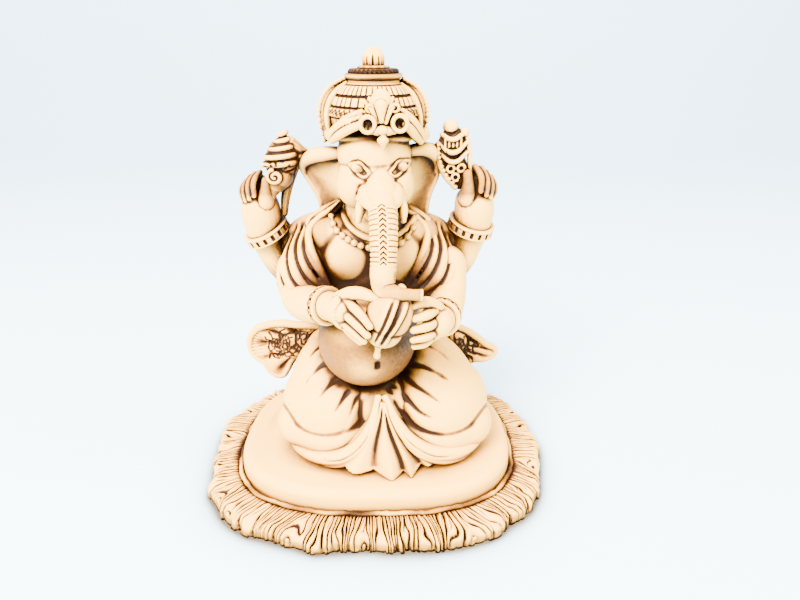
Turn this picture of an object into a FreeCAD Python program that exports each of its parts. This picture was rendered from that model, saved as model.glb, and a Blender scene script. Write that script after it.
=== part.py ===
import FreeCAD, Part
import math
import os
from FreeCAD import Matrix, Rotation, Vector

# Seated four-armed elephant-headed idol on a cushion-shaped plinth with a fringed rug border.
# Millimetres, +Z up, the figure faces -Y. The origin is the centre of the base, on its underside.
# "right" and "left" are the idol's own sides, so the right side is at -X.

# ---- driving dimensions ----
HEIGHT = 150.0  # underside of the rug to the tip of the crown
BASE_WIDTH = 129.0  # rug border, side to side
BASE_DEPTH = 104.0  # rug border, front to back
BORDER = 14.0  # width of the fringed border all round
FIELD_TOP = 5.0  # top of the flat rug field below the plinth
PLINTH_TOP = 13.5  # surface that the figure sits on
WAIST_Z = 58.0  # middle of the belly
SHOULDER_Z = 85.0  # middle of the shoulders
HEAD_Z = 113.5  # middle of the head
CROWN_Z = 122.5  # lower edge of the crown
HEAD_TURN = 10.0  # degrees that the head looks towards its own left

# ---- base ----
PLINTH_WIDTH = BASE_WIDTH - 2 * BORDER - 1.0
PLINTH_DEPTH = BASE_DEPTH - 2 * BORDER
PLINTH_ROUND = 3.2  # rounding of the plinth's upper edge
CORD_RADIUS = 1.15
FRINGE_CREST = 6.6  # height of the border next to the cord
PLINTH_CORNER = 33.0  # corner radius of the plinth seen from above
LOBE_COUNT = 28  # scallops round the border, a multiple of 4 so that the base is as wide as it should be
LOBE_RADIUS = 10.0
STRAND_COUNT = 64
STRAND_GROOVE = 0.9
MIN_SOLID = 0.5  # mm3, offcuts below this are left out
LIMB_WAIST = 0.96  # cone thickness over ball thickness, so that the faces cross and don't just touch
NUDGES = (0.0, 0.011, -0.017, 0.029, -0.05)  # shifts tried where two curved faces cut badly
VOLUME_SLIP = 0.02  # largest share by which a cut or a join may miss its volume

# ---- figure ----
BODY_X = -1.0  # the torso leans a little to its right
LEGS_X = 3.0
LEG_SPREAD = 20.8
HEAD_X = 0.8
CHEST_BALLS = (
    ((BODY_X - 13.0, 1, SHOULDER_Z - 2), 13.4),
    ((BODY_X + 12.0, 1, SHOULDER_Z - 2), 13.4),
    ((BODY_X - 7.8, -7.5, SHOULDER_Z + 0.5), 9.2),
    ((BODY_X + 10.8, -7.5, SHOULDER_Z + 0.5), 9.2),
)


def prism(points, thickness, turn, centre):
    """Flat plate with a polygon outline in its own XZ plane, turned and moved to its place."""
    corners = [Vector(x, -thickness / 2, z) for x, z in points]
    solid = Part.Face(Part.makePolygon(corners + [corners[0]])).extrude(Vector(0, thickness, 0))
    solid.rotate(Vector(0, 0, 0), turn.Axis, math.degrees(turn.Angle))
    solid.translate(Vector(*centre))
    return solid


def tilt(x=0.0, y=0.0, z=0.0):
    """Rotation made of turns about X, then Y, then Z, in degrees."""
    turn = Rotation(Vector(1, 0, 0), x)
    turn = Rotation(Vector(0, 1, 0), y).multiply(turn)
    return Rotation(Vector(0, 0, 1), z).multiply(turn)


def limb(points, radii, pole=Vector(0, 0, 1)):
    """Round bar of changing thickness: balls at the points, joined by slightly slimmer cones.

    pole is the direction of the balls' own axes.
    """
    stops = [Vector(*p) for p in points]
    solids = [Part.makeSphere(radii[0], stops[0], pole)]
    for a, b, ra, rb in zip(stops, stops[1:], radii, radii[1:]):
        along = b.sub(a)
        low, high = ra * LIMB_WAIST, rb * LIMB_WAIST
        if abs(low - high) < 1e-3:
            solids.append(Part.makeCylinder(low, along.Length, a, along))
        else:
            solids.append(Part.makeCone(low, high, along.Length, a, along))
        solids.append(Part.makeSphere(rb, b, pole))
    return fuse(solids)


def tight_box(shape):
    """Bounding box measured on the surface itself."""
    return shape.optimalBoundingBox(False, False)


def nudged(shape):
    """Copies of a shape, each moved by one of the small nudges."""
    for nudge in NUDGES:
        copy = shape.copy()
        copy.translate(Vector(nudge, -nudge, nudge / 2))
        yield copy


def fuse(solids):
    """One solid out of several that overlap, added one at a time and checked by volume."""
    whole = solids[0]
    for solid in solids[1:]:
        whole = fuse_pair(whole, solid)
    return whole


def fuse_pair(whole, solid):
    """Two overlapping solids as one, with the volume that their overlap says it should have."""
    for moved in nudged(solid):
        try:
            joined = whole.fuse(moved)
            shared = whole.common(moved).Volume
        except ValueError:
            continue
        expected = whole.Volume + moved.Volume - shared
        slip = abs(joined.Volume - expected)
        if joined.isValid() and len(joined.Solids) == 1 and slip < VOLUME_SLIP * expected:
            return joined
    raise ValueError("no clean join")


def cut_pair(shape, other):
    """The shape less its overlap with a neighbour, with the volume that the overlap says it should have."""
    for moved in nudged(other):
        try:
            left = shape.cut(moved)
            shared = shape.common(moved).Volume
        except ValueError:
            continue
        if left.isValid() and abs(left.Volume + shared - shape.Volume) < VOLUME_SLIP * shape.Volume:
            return left
    raise ValueError("no clean cut")


def outline(width, depth, corner, z):
    """Closed wire: a rectangle with round corners, centred on the origin, made of lines and arcs."""
    x, y = width / 2, depth / 2
    edges = []
    for sx, sy in ((1, 1), (-1, 1), (-1, -1), (1, -1)):
        centre = Vector(sx * (x - corner), sy * (y - corner), z)
        start = math.degrees(math.atan2(sy, sx)) - 45
        edges.append(Part.makeCircle(corner, centre, Vector(0, 0, 1), start, start + 90))
    ring = []
    for i, edge in enumerate(edges):
        following = edges[(i + 1) % 4]
        ring += [edge, Part.makeLine(edge.lastVertex().Point, following.firstVertex().Point)]
    return Part.Wire(ring)


def slab(width, depth, corner, low, high):
    """Round-cornered plate between two heights."""
    return Part.Face(outline(width, depth, corner, low)).extrude(Vector(0, 0, high - low))


def spun(profile, centre_x=0.0, centre_y=0.0):
    """Solid of revolution about a vertical line, from (radius, z) points joined by straight lines."""
    points = [Vector(centre_x + r, centre_y, z) for r, z in profile]
    wire = Part.makePolygon(points + [points[0]])
    axis = Vector(centre_x, centre_y, 0)
    return Part.Face(wire).revolve(axis, Vector(0, 0, 1), 360)


def reach(start, way, centre, radius):
    """How far along a ray from inside a ball its surface is, or 0 where the ray misses it."""
    offset = Vector(*start).sub(Vector(*centre))
    along = offset.dot(Vector(*way))
    inside = along * along - offset.dot(offset) + radius * radius
    return -along + math.sqrt(inside) if inside > 0 else 0.0


def along_outline(width, depth, corner, count):
    """Evenly spaced points on a round-cornered rectangle, from the middle of its +X side."""
    wire = outline(width, depth, corner, 0.0)
    points = wire.discretize(Number=count * 50 + 1)[:-1]
    first = min(range(len(points)), key=lambda i: (-points[i].x, abs(points[i].y)))
    turned = points[first:] + points[:first]
    return turned[::50]


def base():
    """Rug field, fringed border, cord and plinth."""
    inner_width = PLINTH_WIDTH + 4 * CORD_RADIUS
    inner_depth = PLINTH_DEPTH + 4 * CORD_RADIUS
    inner_corner = PLINTH_CORNER + 2 * CORD_RADIUS
    field = slab(inner_width, inner_depth, inner_corner, 0.0, FIELD_TOP)
    plinth = slab(PLINTH_WIDTH, PLINTH_DEPTH, PLINTH_CORNER, FIELD_TOP, PLINTH_TOP)
    upper = [e for e in plinth.Edges if e.BoundBox.ZMin > PLINTH_TOP - 0.01]
    plinth = plinth.makeFillet(PLINTH_ROUND, upper)
    lobe_width, lobe_depth = BASE_WIDTH - 2 * LOBE_RADIUS, BASE_DEPTH - 2 * LOBE_RADIUS
    border = slab(inner_width + 6.0, inner_depth + 6.0, inner_corner + 3.0, 0.0, FRINGE_CREST)
    for spot in along_outline(lobe_width, lobe_depth, inner_corner + 3.0, LOBE_COUNT):
        border = fuse_pair(border, Part.makeCone(LOBE_RADIUS, LOBE_RADIUS * 0.55, FRINGE_CREST - 0.3, spot))
    reach_out = BASE_WIDTH * 0.6
    for i in range(STRAND_COUNT):
        cutter = Part.makeBox(reach_out, STRAND_GROOVE, STRAND_GROOVE, Vector(0, 0, 0))
        cutter.rotate(Vector(0, 0, 0), Vector(1, 0, 0), 45)
        cutter.rotate(Vector(0, 0, 0), Vector(0, 1, 0), 9.0)
        cutter.translate(Vector(BASE_WIDTH * 0.3, 0, FRINGE_CREST + 1.2))
        uneven = i + 0.25 * math.sin(7.0 * i)
        cutter.rotate(Vector(0, 0, 0), Vector(0, 0, 1), 360.0 * uneven / STRAND_COUNT)
        border = border.cut(cutter)
    border = cut_pair(border, slab(inner_width, inner_depth, inner_corner, -1.0, HEIGHT))
    path = outline(
        PLINTH_WIDTH + 2 * CORD_RADIUS,
        PLINTH_DEPTH + 2 * CORD_RADIUS,
        PLINTH_CORNER + CORD_RADIUS,
        FIELD_TOP + CORD_RADIUS,
    )
    start = path.Edges[0].firstVertex().Point
    along = path.Edges[0].tangentAt(path.Edges[0].FirstParameter)
    section = Part.Wire(Part.makeCircle(CORD_RADIUS, start, along))
    cord = path.makePipeShell([section], True, False)
    return {"plinth": plinth, "rug_field": field, "border_cord": cord, "fringe_border": border}


def legs():
    """Crossed legs in a wrapped cloth, the hems over the shins, and the fan of pleats in front."""
    low = PLINTH_TOP
    corner = Vector(-BASE_WIDTH / 2, -BASE_DEPTH / 2, -40)
    floor_box = Part.makeBox(BASE_WIDTH, BASE_DEPTH, low + 40, corner)
    made = {}
    seat = limb([(BODY_X - 9, 9, low + 12), (BODY_X + 9, 9, low + 12)], [16, 16])
    made["seat_drape"] = cut_pair(seat, floor_box)
    for side, name in ((-1, "right"), (1, "left")):
        thigh_way = [(LEGS_X + side * 7, -4, low + 13), (LEGS_X + side * LEG_SPREAD, -5.5, low + 15.8)]
        shin_way = [(LEGS_X + side * 4, -15, low + 9), (LEGS_X + side * 19, -13.5, low + 9.5)]
        middle = Part.makeBox(80, 120, 90, Vector(LEGS_X if side < 0 else LEGS_X - 80, -60, 0))
        whole = fuse([limb(thigh_way, [13.0, 16.6]), limb(shin_way, [8.5, 10.0])])
        made[name + "_leg"] = cut_pair(cut_pair(whole, floor_box), middle)
    right_hem = [(2.5, -24, 38), (0.5, -27, 30), (-5, -28.5, 21)]
    right_hem += [(-14, -27.5, 17), (-24, -22, 16), (-31, -12, 16)]
    left_hem = [(4.5, -24, 38), (10, -27, 29), (17.5, -27, 21)]
    left_hem += [(27, -24, 17.5), (36, -16, 16.5), (40, -7, 17)]
    hem_radii = [1.6, 2.2, 2.6, 2.8, 2.6, 1.8]
    made["right_hem"] = limb(right_hem, hem_radii)
    made["left_hem"] = limb(left_hem, hem_radii)
    fan = []
    for x, y, r in ((-9, -20.5, 2.6), (-1, -26.5, 3.2), (7, -28, 3.0), (14, -25.5, 3.2), (21, -20, 2.4)):
        fan.append(limb([(3.5 + x * 0.06, -21.5, low + 19), (x, y + 1, low + r - 0.8)], [1.6, r]))
    made["pleat_fan"] = cut_pair(fuse(fan), floor_box)
    return made


def torso():
    """Belly, chest and neck."""
    belly = limb([(BODY_X - 4.5, -7, WAIST_Z), (BODY_X + 3.5, -7, WAIST_Z)], [16.2, 16.2])
    shoulders = limb([ball[0] for ball in CHEST_BALLS[:2]], [ball[1] for ball in CHEST_BALLS[:2]])
    breasts = [Part.makeSphere(radius, Vector(*centre)) for centre, radius in CHEST_BALLS[2:]]
    neck = limb([(HEAD_X, 1, SHOULDER_Z + 8), (HEAD_X, 0, HEAD_Z - 8)], [11, 9])
    return {"belly": belly, "chest": fuse([shoulders] + breasts), "neck": neck}


def shawl():
    """Cloth over both shoulders and down the back, with a flared end at each hip."""
    made = {}
    for side, name in ((-1, "right"), (1, "left")):
        x = BODY_X - 1 + side * 22.0
        shoulder_way = [(x, -0.5, SHOULDER_Z), (x + side * 2.0, -2.5, SHOULDER_Z - 6.5)]
        made[name + "_shoulder_drape"] = limb(shoulder_way, [12.0, 10.4])
        wing = [(0, 6), (9, 8.5), (20, 6.5), (30, 1.5), (33, -3), (31, -8)]
        wing += [(25, -11), (20, -15), (13, -13), (6, -6)]
        shape = [(side * px, pz) for px, pz in wing]
        made[name + "_sash_end"] = prism(shape, 6.0, tilt(z=-side * 5), (BODY_X + side * 16.5, 12.0, 43.5))
    back_way = [(BODY_X, 10, 84), (BODY_X, 10, 66), (BODY_X, 10.5, 50)]
    made["back_drape"] = limb(back_way, [14.5, 16.5, 16.5])
    return made


def front_arms():
    """Lower pair of arms: forearm, bangle and hand on each side of the conch."""
    made = {}
    right = [(-27.0, -4, 76), (-27.0, -8, 71.5), (-18, -18, 73), (-12.5, -23.5, 74.8)]
    left = [(29.3, -4.6, 76.3), (28.7, -8.3, 71.4), (25.3, -18, 70.2), (21.4, -24.4, 70.3)]
    for name, way, pole in (("right", right, Vector(0, 0, 1)), ("left", left, Vector(0, 1, 0))):
        made[name + "_forearm"] = limb(way, [7.6, 7.8, 6.2, 5.0], pole)
        a, b = Vector(*way[2]), Vector(*way[3])
        along = b.sub(a)
        middle = b.sub(Vector(along).multiply(0.12))
        ring = Part.makeTorus(5.3, 1.3, middle, along)
        made[name + "_bangle"] = ring
    palm = limb([(-9.4, -27.6, 76.6), (-6.0, -31.0, 77.2)], [5.0, 4.6])
    fingers = []
    for i in range(4):
        start = (-8.0 + 0.6 * i, -32.0 - 0.4 * i, 80.8 - 2.9 * i)
        tip = (-0.6 - 1.1 * i, -37.4 + 0.4 * i, 76.6 - 2.9 * i)
        fingers.append(limb([start, tip], [1.75, 1.35]))
    thumb = limb([(-8, -28, 82), (-2.5, -31.5, 83.4), (1.5, -33, 83.0)], [2.2, 1.9, 1.4])
    made["right_hand"] = fuse([palm, thumb] + fingers)
    palm = limb([(19.2, -28.6, 73.0), (19.4, -28.6, 68.6)], [4.4, 4.2])
    fingers = []
    for i in range(4):
        start = (20.0 - 0.3 * i, -32.0, 75.0 - 2.8 * i)
        tip = (12.2 + 0.5 * i, -33.6 + 0.4 * i, 73.6 - 2.8 * i)
        fingers.append(limb([start, tip], [1.75, 1.45]))
    thumb = limb([(20, -28, 77), (16.0, -30.5, 79.8), (12.0, -31.0, 80.0)], [2.2, 1.9, 1.4])
    made["left_hand"] = fuse([palm, thumb] + fingers)
    return made


def held_conch():
    """Conch in the front hands: a round shell that narrows to a point below."""
    axis = [(8.2, -33.0, 82.5), (7.0, -33.5, 77.5), (5.2, -33.5, 71.5)]
    axis += [(3.0, -33.0, 66.0), (2.0, -32.0, 62.8)]
    return {"held_conch": limb(axis, [4.4, 7.0, 5.6, 2.6, 1.0])}


def raised_arms():
    """Rear pair of arms, lifted beside the head, with an armlet at each elbow."""
    made = {}
    right_way = [(-22, 8, 80), (-33, 8, 78.5), (-37.5, 6.5, 88)]
    right_fore = [(-37.6, 6, 92), (-38.6, 4.8, 97.5), (-37.4, 4, 103)]
    left_way = [(20, 8, 80), (31.0, 8, 79), (34.3, 6.5, 89)]
    left_fore = [(34.6, 6, 93), (35.6, 4.8, 98.0), (34.8, 4, 103.5)]
    sets = (("right", right_way, right_fore), ("left", left_way, left_fore))
    for name, way, fore in sets:
        made[name + "_raised_upper_arm"] = limb(way, [7.0, 5.4, 5.8])
        made[name + "_raised_forearm"] = limb(fore, [6.2, 5.6, 4.4])
        a, b = Vector(*way[2]), Vector(*fore[1])
        along = b.sub(a)
        middle = a.add(Vector(along).multiply(0.32))
        made[name + "_armlet"] = Part.makeTorus(6.1, 1.7, middle, along)
    return made


def raised_hands():
    """Rear hands: curled fingers outside, thumb inside, each around what it holds."""
    made = {}
    for name, side, x0 in (("right", -1, -37.2), ("left", 1, 34.6)):
        parts = [limb([(x0 + side * 1.0, 4, 105.4), (x0 + side * 2.2, 4, 108.6)], [4.0, 3.6])]
        for i in range(4):
            knuckle = (x0 + side * (0.4 + 1.9 * i), 1.0 + 0.3 * i, 110.4 - 0.9 * i)
            tip = (x0 + side * (1.2 + 1.9 * i), -0.6 + 0.4 * i, 105.6 - 0.8 * i)
            parts.append(limb([knuckle, tip], [1.5, 1.25]))
        parts.append(limb([(x0 - side * 1.0, 2, 103), (x0 - side * 4.6, 0, 109.5)], [2.3, 1.5]))
        made[name + "_raised_hand"] = fuse(parts)
    return made


def emblems():
    """Conch in the right rear hand and flat ornate mace head in the left rear hand."""
    axis = [(-28.9, 1.5, 123.4), (-29.2, 1.5, 120.0), (-29.8, 1.5, 115.6)]
    axis += [(-30.6, 1.0, 110.5), (-32.0, 0.5, 104.5)]
    shell = limb(axis, [1.6, 4.6, 6.4, 4.8, 1.4])
    lip = limb([(-26.0, 2.5, 118.5), (-24.0, 3.5, 112.5), (-29, 3, 106)], [2.4, 2.2, 1.6])
    edge = [(-1.6, 9.4), (1.8, 9.4), (3.6, 5.4), (4.8, 0.0), (4.2, -6.0), (2.2, -10.6)]
    edge += [(-2.4, -10.6), (-4.6, -5.0), (-5.2, 0.0), (-3.6, 5.4)]
    mace = prism(edge, 4.4, tilt(y=-4), (26.0, 1.5, 116.0))
    knob = limb([(26.4, 1.5, 125.0), (26.2, 1.5, 126.4)], [2.2, 1.8])
    return {"raised_conch": fuse([shell, lip]), "raised_mace": fuse([mace, knob])}


def head():
    """Head with full cheeks, trunk, tusks, eyes and ears."""
    skull = limb([(HEAD_X, 0.5, HEAD_Z + 2.5), (HEAD_X + 1.2, -4.8, HEAD_Z - 3.0)], [12.0, 10.4])
    flare = limb([(HEAD_X + 0.6, -12.5, HEAD_Z - 5.0), (HEAD_X + 4.8, -12.5, HEAD_Z - 5.0)], [4.6, 4.6])
    made = {"head": fuse([skull, flare])}
    trunk_way = [(3.6, -15.5, 109), (4.0, -20.5, 104.5), (4.2, -25.5, 98), (4.2, -29.5, 91.5)]
    trunk_way += [(4.2, -32.0, 87.2), (6.2, -33.6, 85.2), (10.5, -34.2, 83.9), (15.4, -34.2, 83.2)]
    made["trunk"] = limb(trunk_way, [5.2, 4.5, 4.0, 3.3, 2.7, 2.4, 2.2, 2.0])
    for name, side in (("right", -1), ("left", 1)):
        root = (HEAD_X + 2.5 + side * 6.4, -14.0, HEAD_Z - 7.2)
        tip = (HEAD_X + 2.5 + side * 7.8, -17.2, HEAD_Z - 13.0)
        made[name + "_tusk"] = limb([root, tip], [1.6, 0.8])
    for name, x, y in (("right", -2.9, -11.6), ("left", 8.5, -10.6)):
        made[name + "_eye"] = Part.makeSphere(2.0, Vector(x, y, HEAD_Z + 3.2))
    ear = [(0, 7), (6, 9.5), (12, 9), (15.5, 4.5), (15, -2), (11.5, -8), (7, -12.5), (2, -13), (-1, -6)]
    for name, side, way, reach_out in (("right", -1, 12, 1.0), ("left", 1, 38, 0.92)):
        shape = [(side * px * reach_out, pz) for px, pz in ear]
        place = (HEAD_X + side * 9.6, 3.0, HEAD_Z - 4.0)
        made[name + "_ear"] = prism(shape, 2.8, tilt(z=side * way), place)
    return made


def crown():
    """Tiered crown: cap, collar, beaded disc, finial, side arches and brow ornaments."""
    z = CROWN_Z
    top = HEIGHT
    dome = [(0, z), (11.6, z), (13.0, z + 3.5), (13.4, z + 8.0), (12.6, z + 11)]
    dome += [(10.6, z + 14.2), (8.0, z + 17), (0, z + 17)]
    made = {"crown_cap": spun(dome, HEAD_X, 0)}
    made["crown_collar"] = Part.makeTorus(7.2, 1.15, Vector(HEAD_X, 0, z + 18)).fuse(
        Part.makeCylinder(7.2, 2.0, Vector(HEAD_X, 0, z + 17))
    )
    disc = [(0, z + 19), (7.6, z + 19), (7.9, z + 20.2), (6.4, z + 21.8), (0, z + 21.8)]
    made["crown_disc"] = spun(disc, HEAD_X, 0)
    tip = [(0, z + 21.8), (3.5, z + 21.8), (3.6, z + 24), (3.1, z + 26), (1.7, top - 0.6), (0, top)]
    made["crown_finial"] = spun(tip, HEAD_X, 0)
    for side, name in ((-1, "right"), (1, "left")):
        way = []
        for i in range(6):
            a = math.radians(-12 + 20 * i)
            way.append((HEAD_X + side * (4.0 + 10.2 * math.cos(a)), 3.0, z + 9.0 + 10.0 * math.sin(a)))
        made[name + "_crown_arch"] = limb(way[:5], [1.6, 1.7, 1.7, 1.5, 1.2])
        flap = [
            (HEAD_X + 2.2 + side * 5.0, -13.2, z + 5.2),
            (HEAD_X + 1.2 + side * 9.0, -9.6, z + 3.2),
            (HEAD_X + side * 12.4, -5.0, z + 0.8),
        ]
        made[name + "_brow_flap"] = limb(flap, [1.5, 1.7, 1.5])
        centre = Vector(HEAD_X + 2.4 + side * 4.2, -14.2, z + 5.0)
        made[name + "_rosette"] = Part.makeTorus(1.9, 0.55, centre, Vector(0.18, -1, 0.1))
    petal = [(0, 5.6), (1.8, 3.8), (2.1, 0.6), (1.1, -3.6)]
    petal += [(0, -4.6), (-1.1, -3.6), (-2.1, 0.6), (-1.8, 3.8)]
    made["crown_plaque"] = prism(petal, 2.4, tilt(x=-10, z=HEAD_TURN), (HEAD_X + 2.5, -13.8, z + 9.0))
    drop = [(HEAD_X + 2.7, -14.6, z + 2.6), (HEAD_X + 2.8, -14.8, z - 0.4)]
    made["brow_pendant"] = limb(drop, [1.4, 0.9])
    return made


def necklace():
    """Collar band and the string of beads below it, lying on the chest."""
    band, beads = [], []
    for i in range(9):
        band.append(on_chest(-68 + 17 * i, 93.8, 2.2))
    for i in range(17):
        beads.append(Part.makeSphere(1.15, Vector(*on_chest(-72 + 9 * i, 91.2, 4.0))))
    return {"collar_band": limb(band, [1.3] * 9), "bead_string": Part.makeCompound(beads)}


def on_chest(angle, height, drop):
    """Point on the chest's surface at an angle round the neck. The height drops towards the front."""
    a = math.radians(angle)
    way = (math.sin(a), -math.cos(a), 0.0)
    start = (HEAD_X, -2.0, height - drop * math.cos(a))
    out = max(reach(start, way, centre, radius) for centre, radius in CHEST_BALLS)
    return tuple(p + out * w for p, w in zip(start, way))


def settle(nodes):
    """Cuts each node by the earlier ones that it reaches into, so that neighbours meet face to face."""
    done = {}
    earlier = []
    for name, shape in nodes.items():
        kept = []
        for solid in shape.Solids:
            box = tight_box(solid)
            for other, other_box in earlier:
                if solid.Solids and box.intersect(other_box):
                    solid = cut_pair(solid, other)
            kept += [piece for piece in solid.Solids if piece.Volume > MIN_SOLID]
        done[name] = kept[0] if len(kept) == 1 else Part.makeCompound(kept)
        earlier.append((shape, tight_box(shape)))
    return done


def build():
    """All nodes, the larger bodies first."""
    nodes = {}
    groups = [base, legs, torso, head, shawl, front_arms, held_conch]
    groups += [raised_arms, raised_hands, emblems, crown, necklace]
    for group in groups:
        nodes.update(group())
    first = ["plinth", "rug_field", "border_cord", "fringe_border", "belly"]
    first += ["chest", "head", "neck", "right_leg", "left_leg"]
    order = first + [name for name in nodes if name not in first]
    return settle({name: nodes[name] for name in order})


os.makedirs("parts", exist_ok=True)
for old in os.listdir("parts"):
    os.remove(os.path.join("parts", old))
for node_name, node_shape in build().items():
    node_shape.exportStep("parts/" + node_name + ".step")
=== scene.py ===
"""Seated four-armed elephant-headed idol in washed ivory resin, on a fringed rug base."""

import logging
import math
from dataclasses import dataclass, field
from enum import Enum
from typing import Callable, Iterable, Sequence

import bpy
import numpy as np
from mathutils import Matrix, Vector
from mathutils.bvhtree import BVHTree

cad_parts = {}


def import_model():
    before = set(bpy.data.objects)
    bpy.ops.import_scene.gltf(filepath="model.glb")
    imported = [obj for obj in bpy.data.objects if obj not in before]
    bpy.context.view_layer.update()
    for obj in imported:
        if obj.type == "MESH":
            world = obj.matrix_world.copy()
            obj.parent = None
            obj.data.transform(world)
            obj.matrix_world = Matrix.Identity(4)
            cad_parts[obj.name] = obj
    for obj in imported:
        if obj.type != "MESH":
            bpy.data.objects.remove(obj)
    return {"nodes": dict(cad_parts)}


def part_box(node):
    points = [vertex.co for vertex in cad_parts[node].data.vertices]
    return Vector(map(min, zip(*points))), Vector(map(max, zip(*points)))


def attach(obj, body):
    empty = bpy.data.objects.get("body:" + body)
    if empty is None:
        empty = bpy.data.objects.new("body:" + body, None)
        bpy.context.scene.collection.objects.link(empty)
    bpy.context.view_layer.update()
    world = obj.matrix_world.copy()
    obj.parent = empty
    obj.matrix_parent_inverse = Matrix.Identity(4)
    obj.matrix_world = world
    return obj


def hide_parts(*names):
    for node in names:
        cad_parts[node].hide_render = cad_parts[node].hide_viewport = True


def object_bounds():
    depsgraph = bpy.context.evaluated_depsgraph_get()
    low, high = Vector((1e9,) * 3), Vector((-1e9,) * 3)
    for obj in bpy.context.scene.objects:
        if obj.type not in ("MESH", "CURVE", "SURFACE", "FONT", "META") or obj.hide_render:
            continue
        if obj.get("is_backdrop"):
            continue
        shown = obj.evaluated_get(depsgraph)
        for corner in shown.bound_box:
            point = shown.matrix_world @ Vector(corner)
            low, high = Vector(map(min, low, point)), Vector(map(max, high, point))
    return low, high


LOG = logging.getLogger("idol")
MM = 0.001
Point = Sequence[float]
Triple = tuple[float, float, float]
Shape = Callable[[np.ndarray, np.ndarray], np.ndarray]
Tint = Callable[[np.ndarray], np.ndarray]


def no_tint(points: np.ndarray) -> np.ndarray:
    """No extra wash anywhere."""
    return np.zeros(len(points))


def even_tint(amount: float) -> Tint:
    """The same extra wash everywhere."""
    return lambda points: np.full(len(points), amount)


def tint_below(level: float, fade: float, amount: float) -> Tint:
    """Extra darkening that comes in below a height.

    Args:
        level: the height where it starts.
        fade: the drop over which it grows to its full amount.
        amount: the full amount.

    Returns:
        The extra darkening for rows of points.
    """
    return lambda points: amount * np.clip((level - points[:, 2]) / fade, 0, 1)


class Side(Enum):
    """The idol's own sides. Its right is towards -X."""

    RIGHT = -1
    LEFT = 1

    def named(self, what: str) -> str:
        """Name of a piece or node on this side."""
        return f"{self.name.lower()}_{what}"


class Fade(Enum):
    """How a stroke grows weaker along its path."""

    NONE = 0
    AWAY = 1
    ENDS = 2


def deselect() -> None:
    """Leaves nothing selected."""
    for item in bpy.context.selected_objects:
        item.select_set(False)


def pick(item: bpy.types.Object) -> None:
    """Makes one object the only selected one and the active one."""
    deselect()
    item.select_set(True)
    bpy.context.view_layer.objects.active = item


def apply_modifier(item: bpy.types.Object, kind: str, **settings: object) -> None:
    """Adds a modifier to an object and applies it.

    Args:
        item: the object.
        kind: the modifier's type.
        settings: its properties.
    """
    pick(item)
    modifier = item.modifiers.new(kind.lower(), kind)
    for key, value in settings.items():
        setattr(modifier, key, value)
    bpy.ops.object.modifier_apply(modifier=modifier.name)


def read_points(mesh: bpy.types.Mesh) -> np.ndarray:
    """The mesh's vertex positions as rows."""
    flat = np.empty(len(mesh.vertices) * 3)
    mesh.vertices.foreach_get("co", flat)
    return flat.reshape(-1, 3)


def write_points(mesh: bpy.types.Mesh, points: np.ndarray) -> None:
    """Gives the mesh new vertex positions."""
    mesh.vertices.foreach_set("co", np.ascontiguousarray(points).ravel())
    mesh.update()


def read_normals(mesh: bpy.types.Mesh) -> np.ndarray:
    """The mesh's vertex normals as rows."""
    flat = np.empty(len(mesh.vertices) * 3)
    mesh.vertices.foreach_get("normal", flat)
    return flat.reshape(-1, 3)


def read_edges(mesh: bpy.types.Mesh) -> np.ndarray:
    """The mesh's edges as rows of two vertex numbers."""
    flat = np.empty(len(mesh.edges) * 2, dtype=np.int64)
    mesh.edges.foreach_get("vertices", flat)
    return flat.reshape(-1, 2)


def diffuse(values: np.ndarray, edges: np.ndarray, steps: int) -> np.ndarray:
    """Spreads values over a mesh by averaging neighbours.

    Args:
        values: one row for each vertex.
        edges: pairs of vertex numbers.
        steps: how often to average.

    Returns:
        The smoothed rows.
    """
    total = len(values)
    first, second = edges[:, 0], edges[:, 1]
    count = np.maximum(np.bincount(edges.ravel(), minlength=total), 1)
    for _ in range(steps):
        mean = np.empty_like(values)
        for k in range(values.shape[1]):
            column = values[:, k]
            gathered = np.bincount(first, column[second], total)
            gathered = gathered + np.bincount(second, column[first], total)
            mean[:, k] = gathered / count
        values = 0.4 * values + 0.6 * mean
    return values


def ripple(angle: np.ndarray, seed: int, waves: Iterable[int]) -> np.ndarray:
    """Smooth random wave round a full turn, from about -1 to 1.

    Args:
        angle: angles in radians.
        seed: makes one pattern differ from another.
        waves: how many waves each part of the pattern has in a full turn.

    Returns:
        The wave's height at each angle.
    """
    dice = np.random.default_rng(seed)
    height = np.zeros_like(angle)
    total = 0.0
    for count in waves:
        share = dice.uniform(0.5, 1.0)
        height += share * np.sin(count * angle + dice.uniform(0, 2 * math.pi))
        total += share * 0.7
    return height / total


def circle(count: int) -> list[tuple[float, float]]:
    """Cosine and sine of evenly spread angles in a full turn, with both ends."""
    return [(math.cos(a), math.sin(a)) for a in np.linspace(0, 2 * math.pi, count)]


def spline(points: Sequence[Point], count: int) -> np.ndarray:
    """Smooth curve through the points.

    Args:
        points: rows of any width, such as x, y, z and radius.
        count: how many rows to return.

    Returns:
        Evenly spread rows on the curve.
    """
    knots = np.asarray(points, dtype=float)
    padded = np.vstack((2 * knots[0] - knots[1], knots, 2 * knots[-1] - knots[-2]))
    spans = len(knots) - 1
    place = np.linspace(0, spans, count)
    span = np.minimum(place.astype(int), spans - 1)
    t = (place - span)[:, None]
    a, b, c, d = padded[span], padded[span + 1], padded[span + 2], padded[span + 3]
    curve = 2 * b + (c - a) * t + (2 * a - 5 * b + 4 * c - d) * t**2 + (3 * b - a - 3 * c + d) * t**3
    return curve / 2


# ---------------------------------------------------------------- materials


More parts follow.
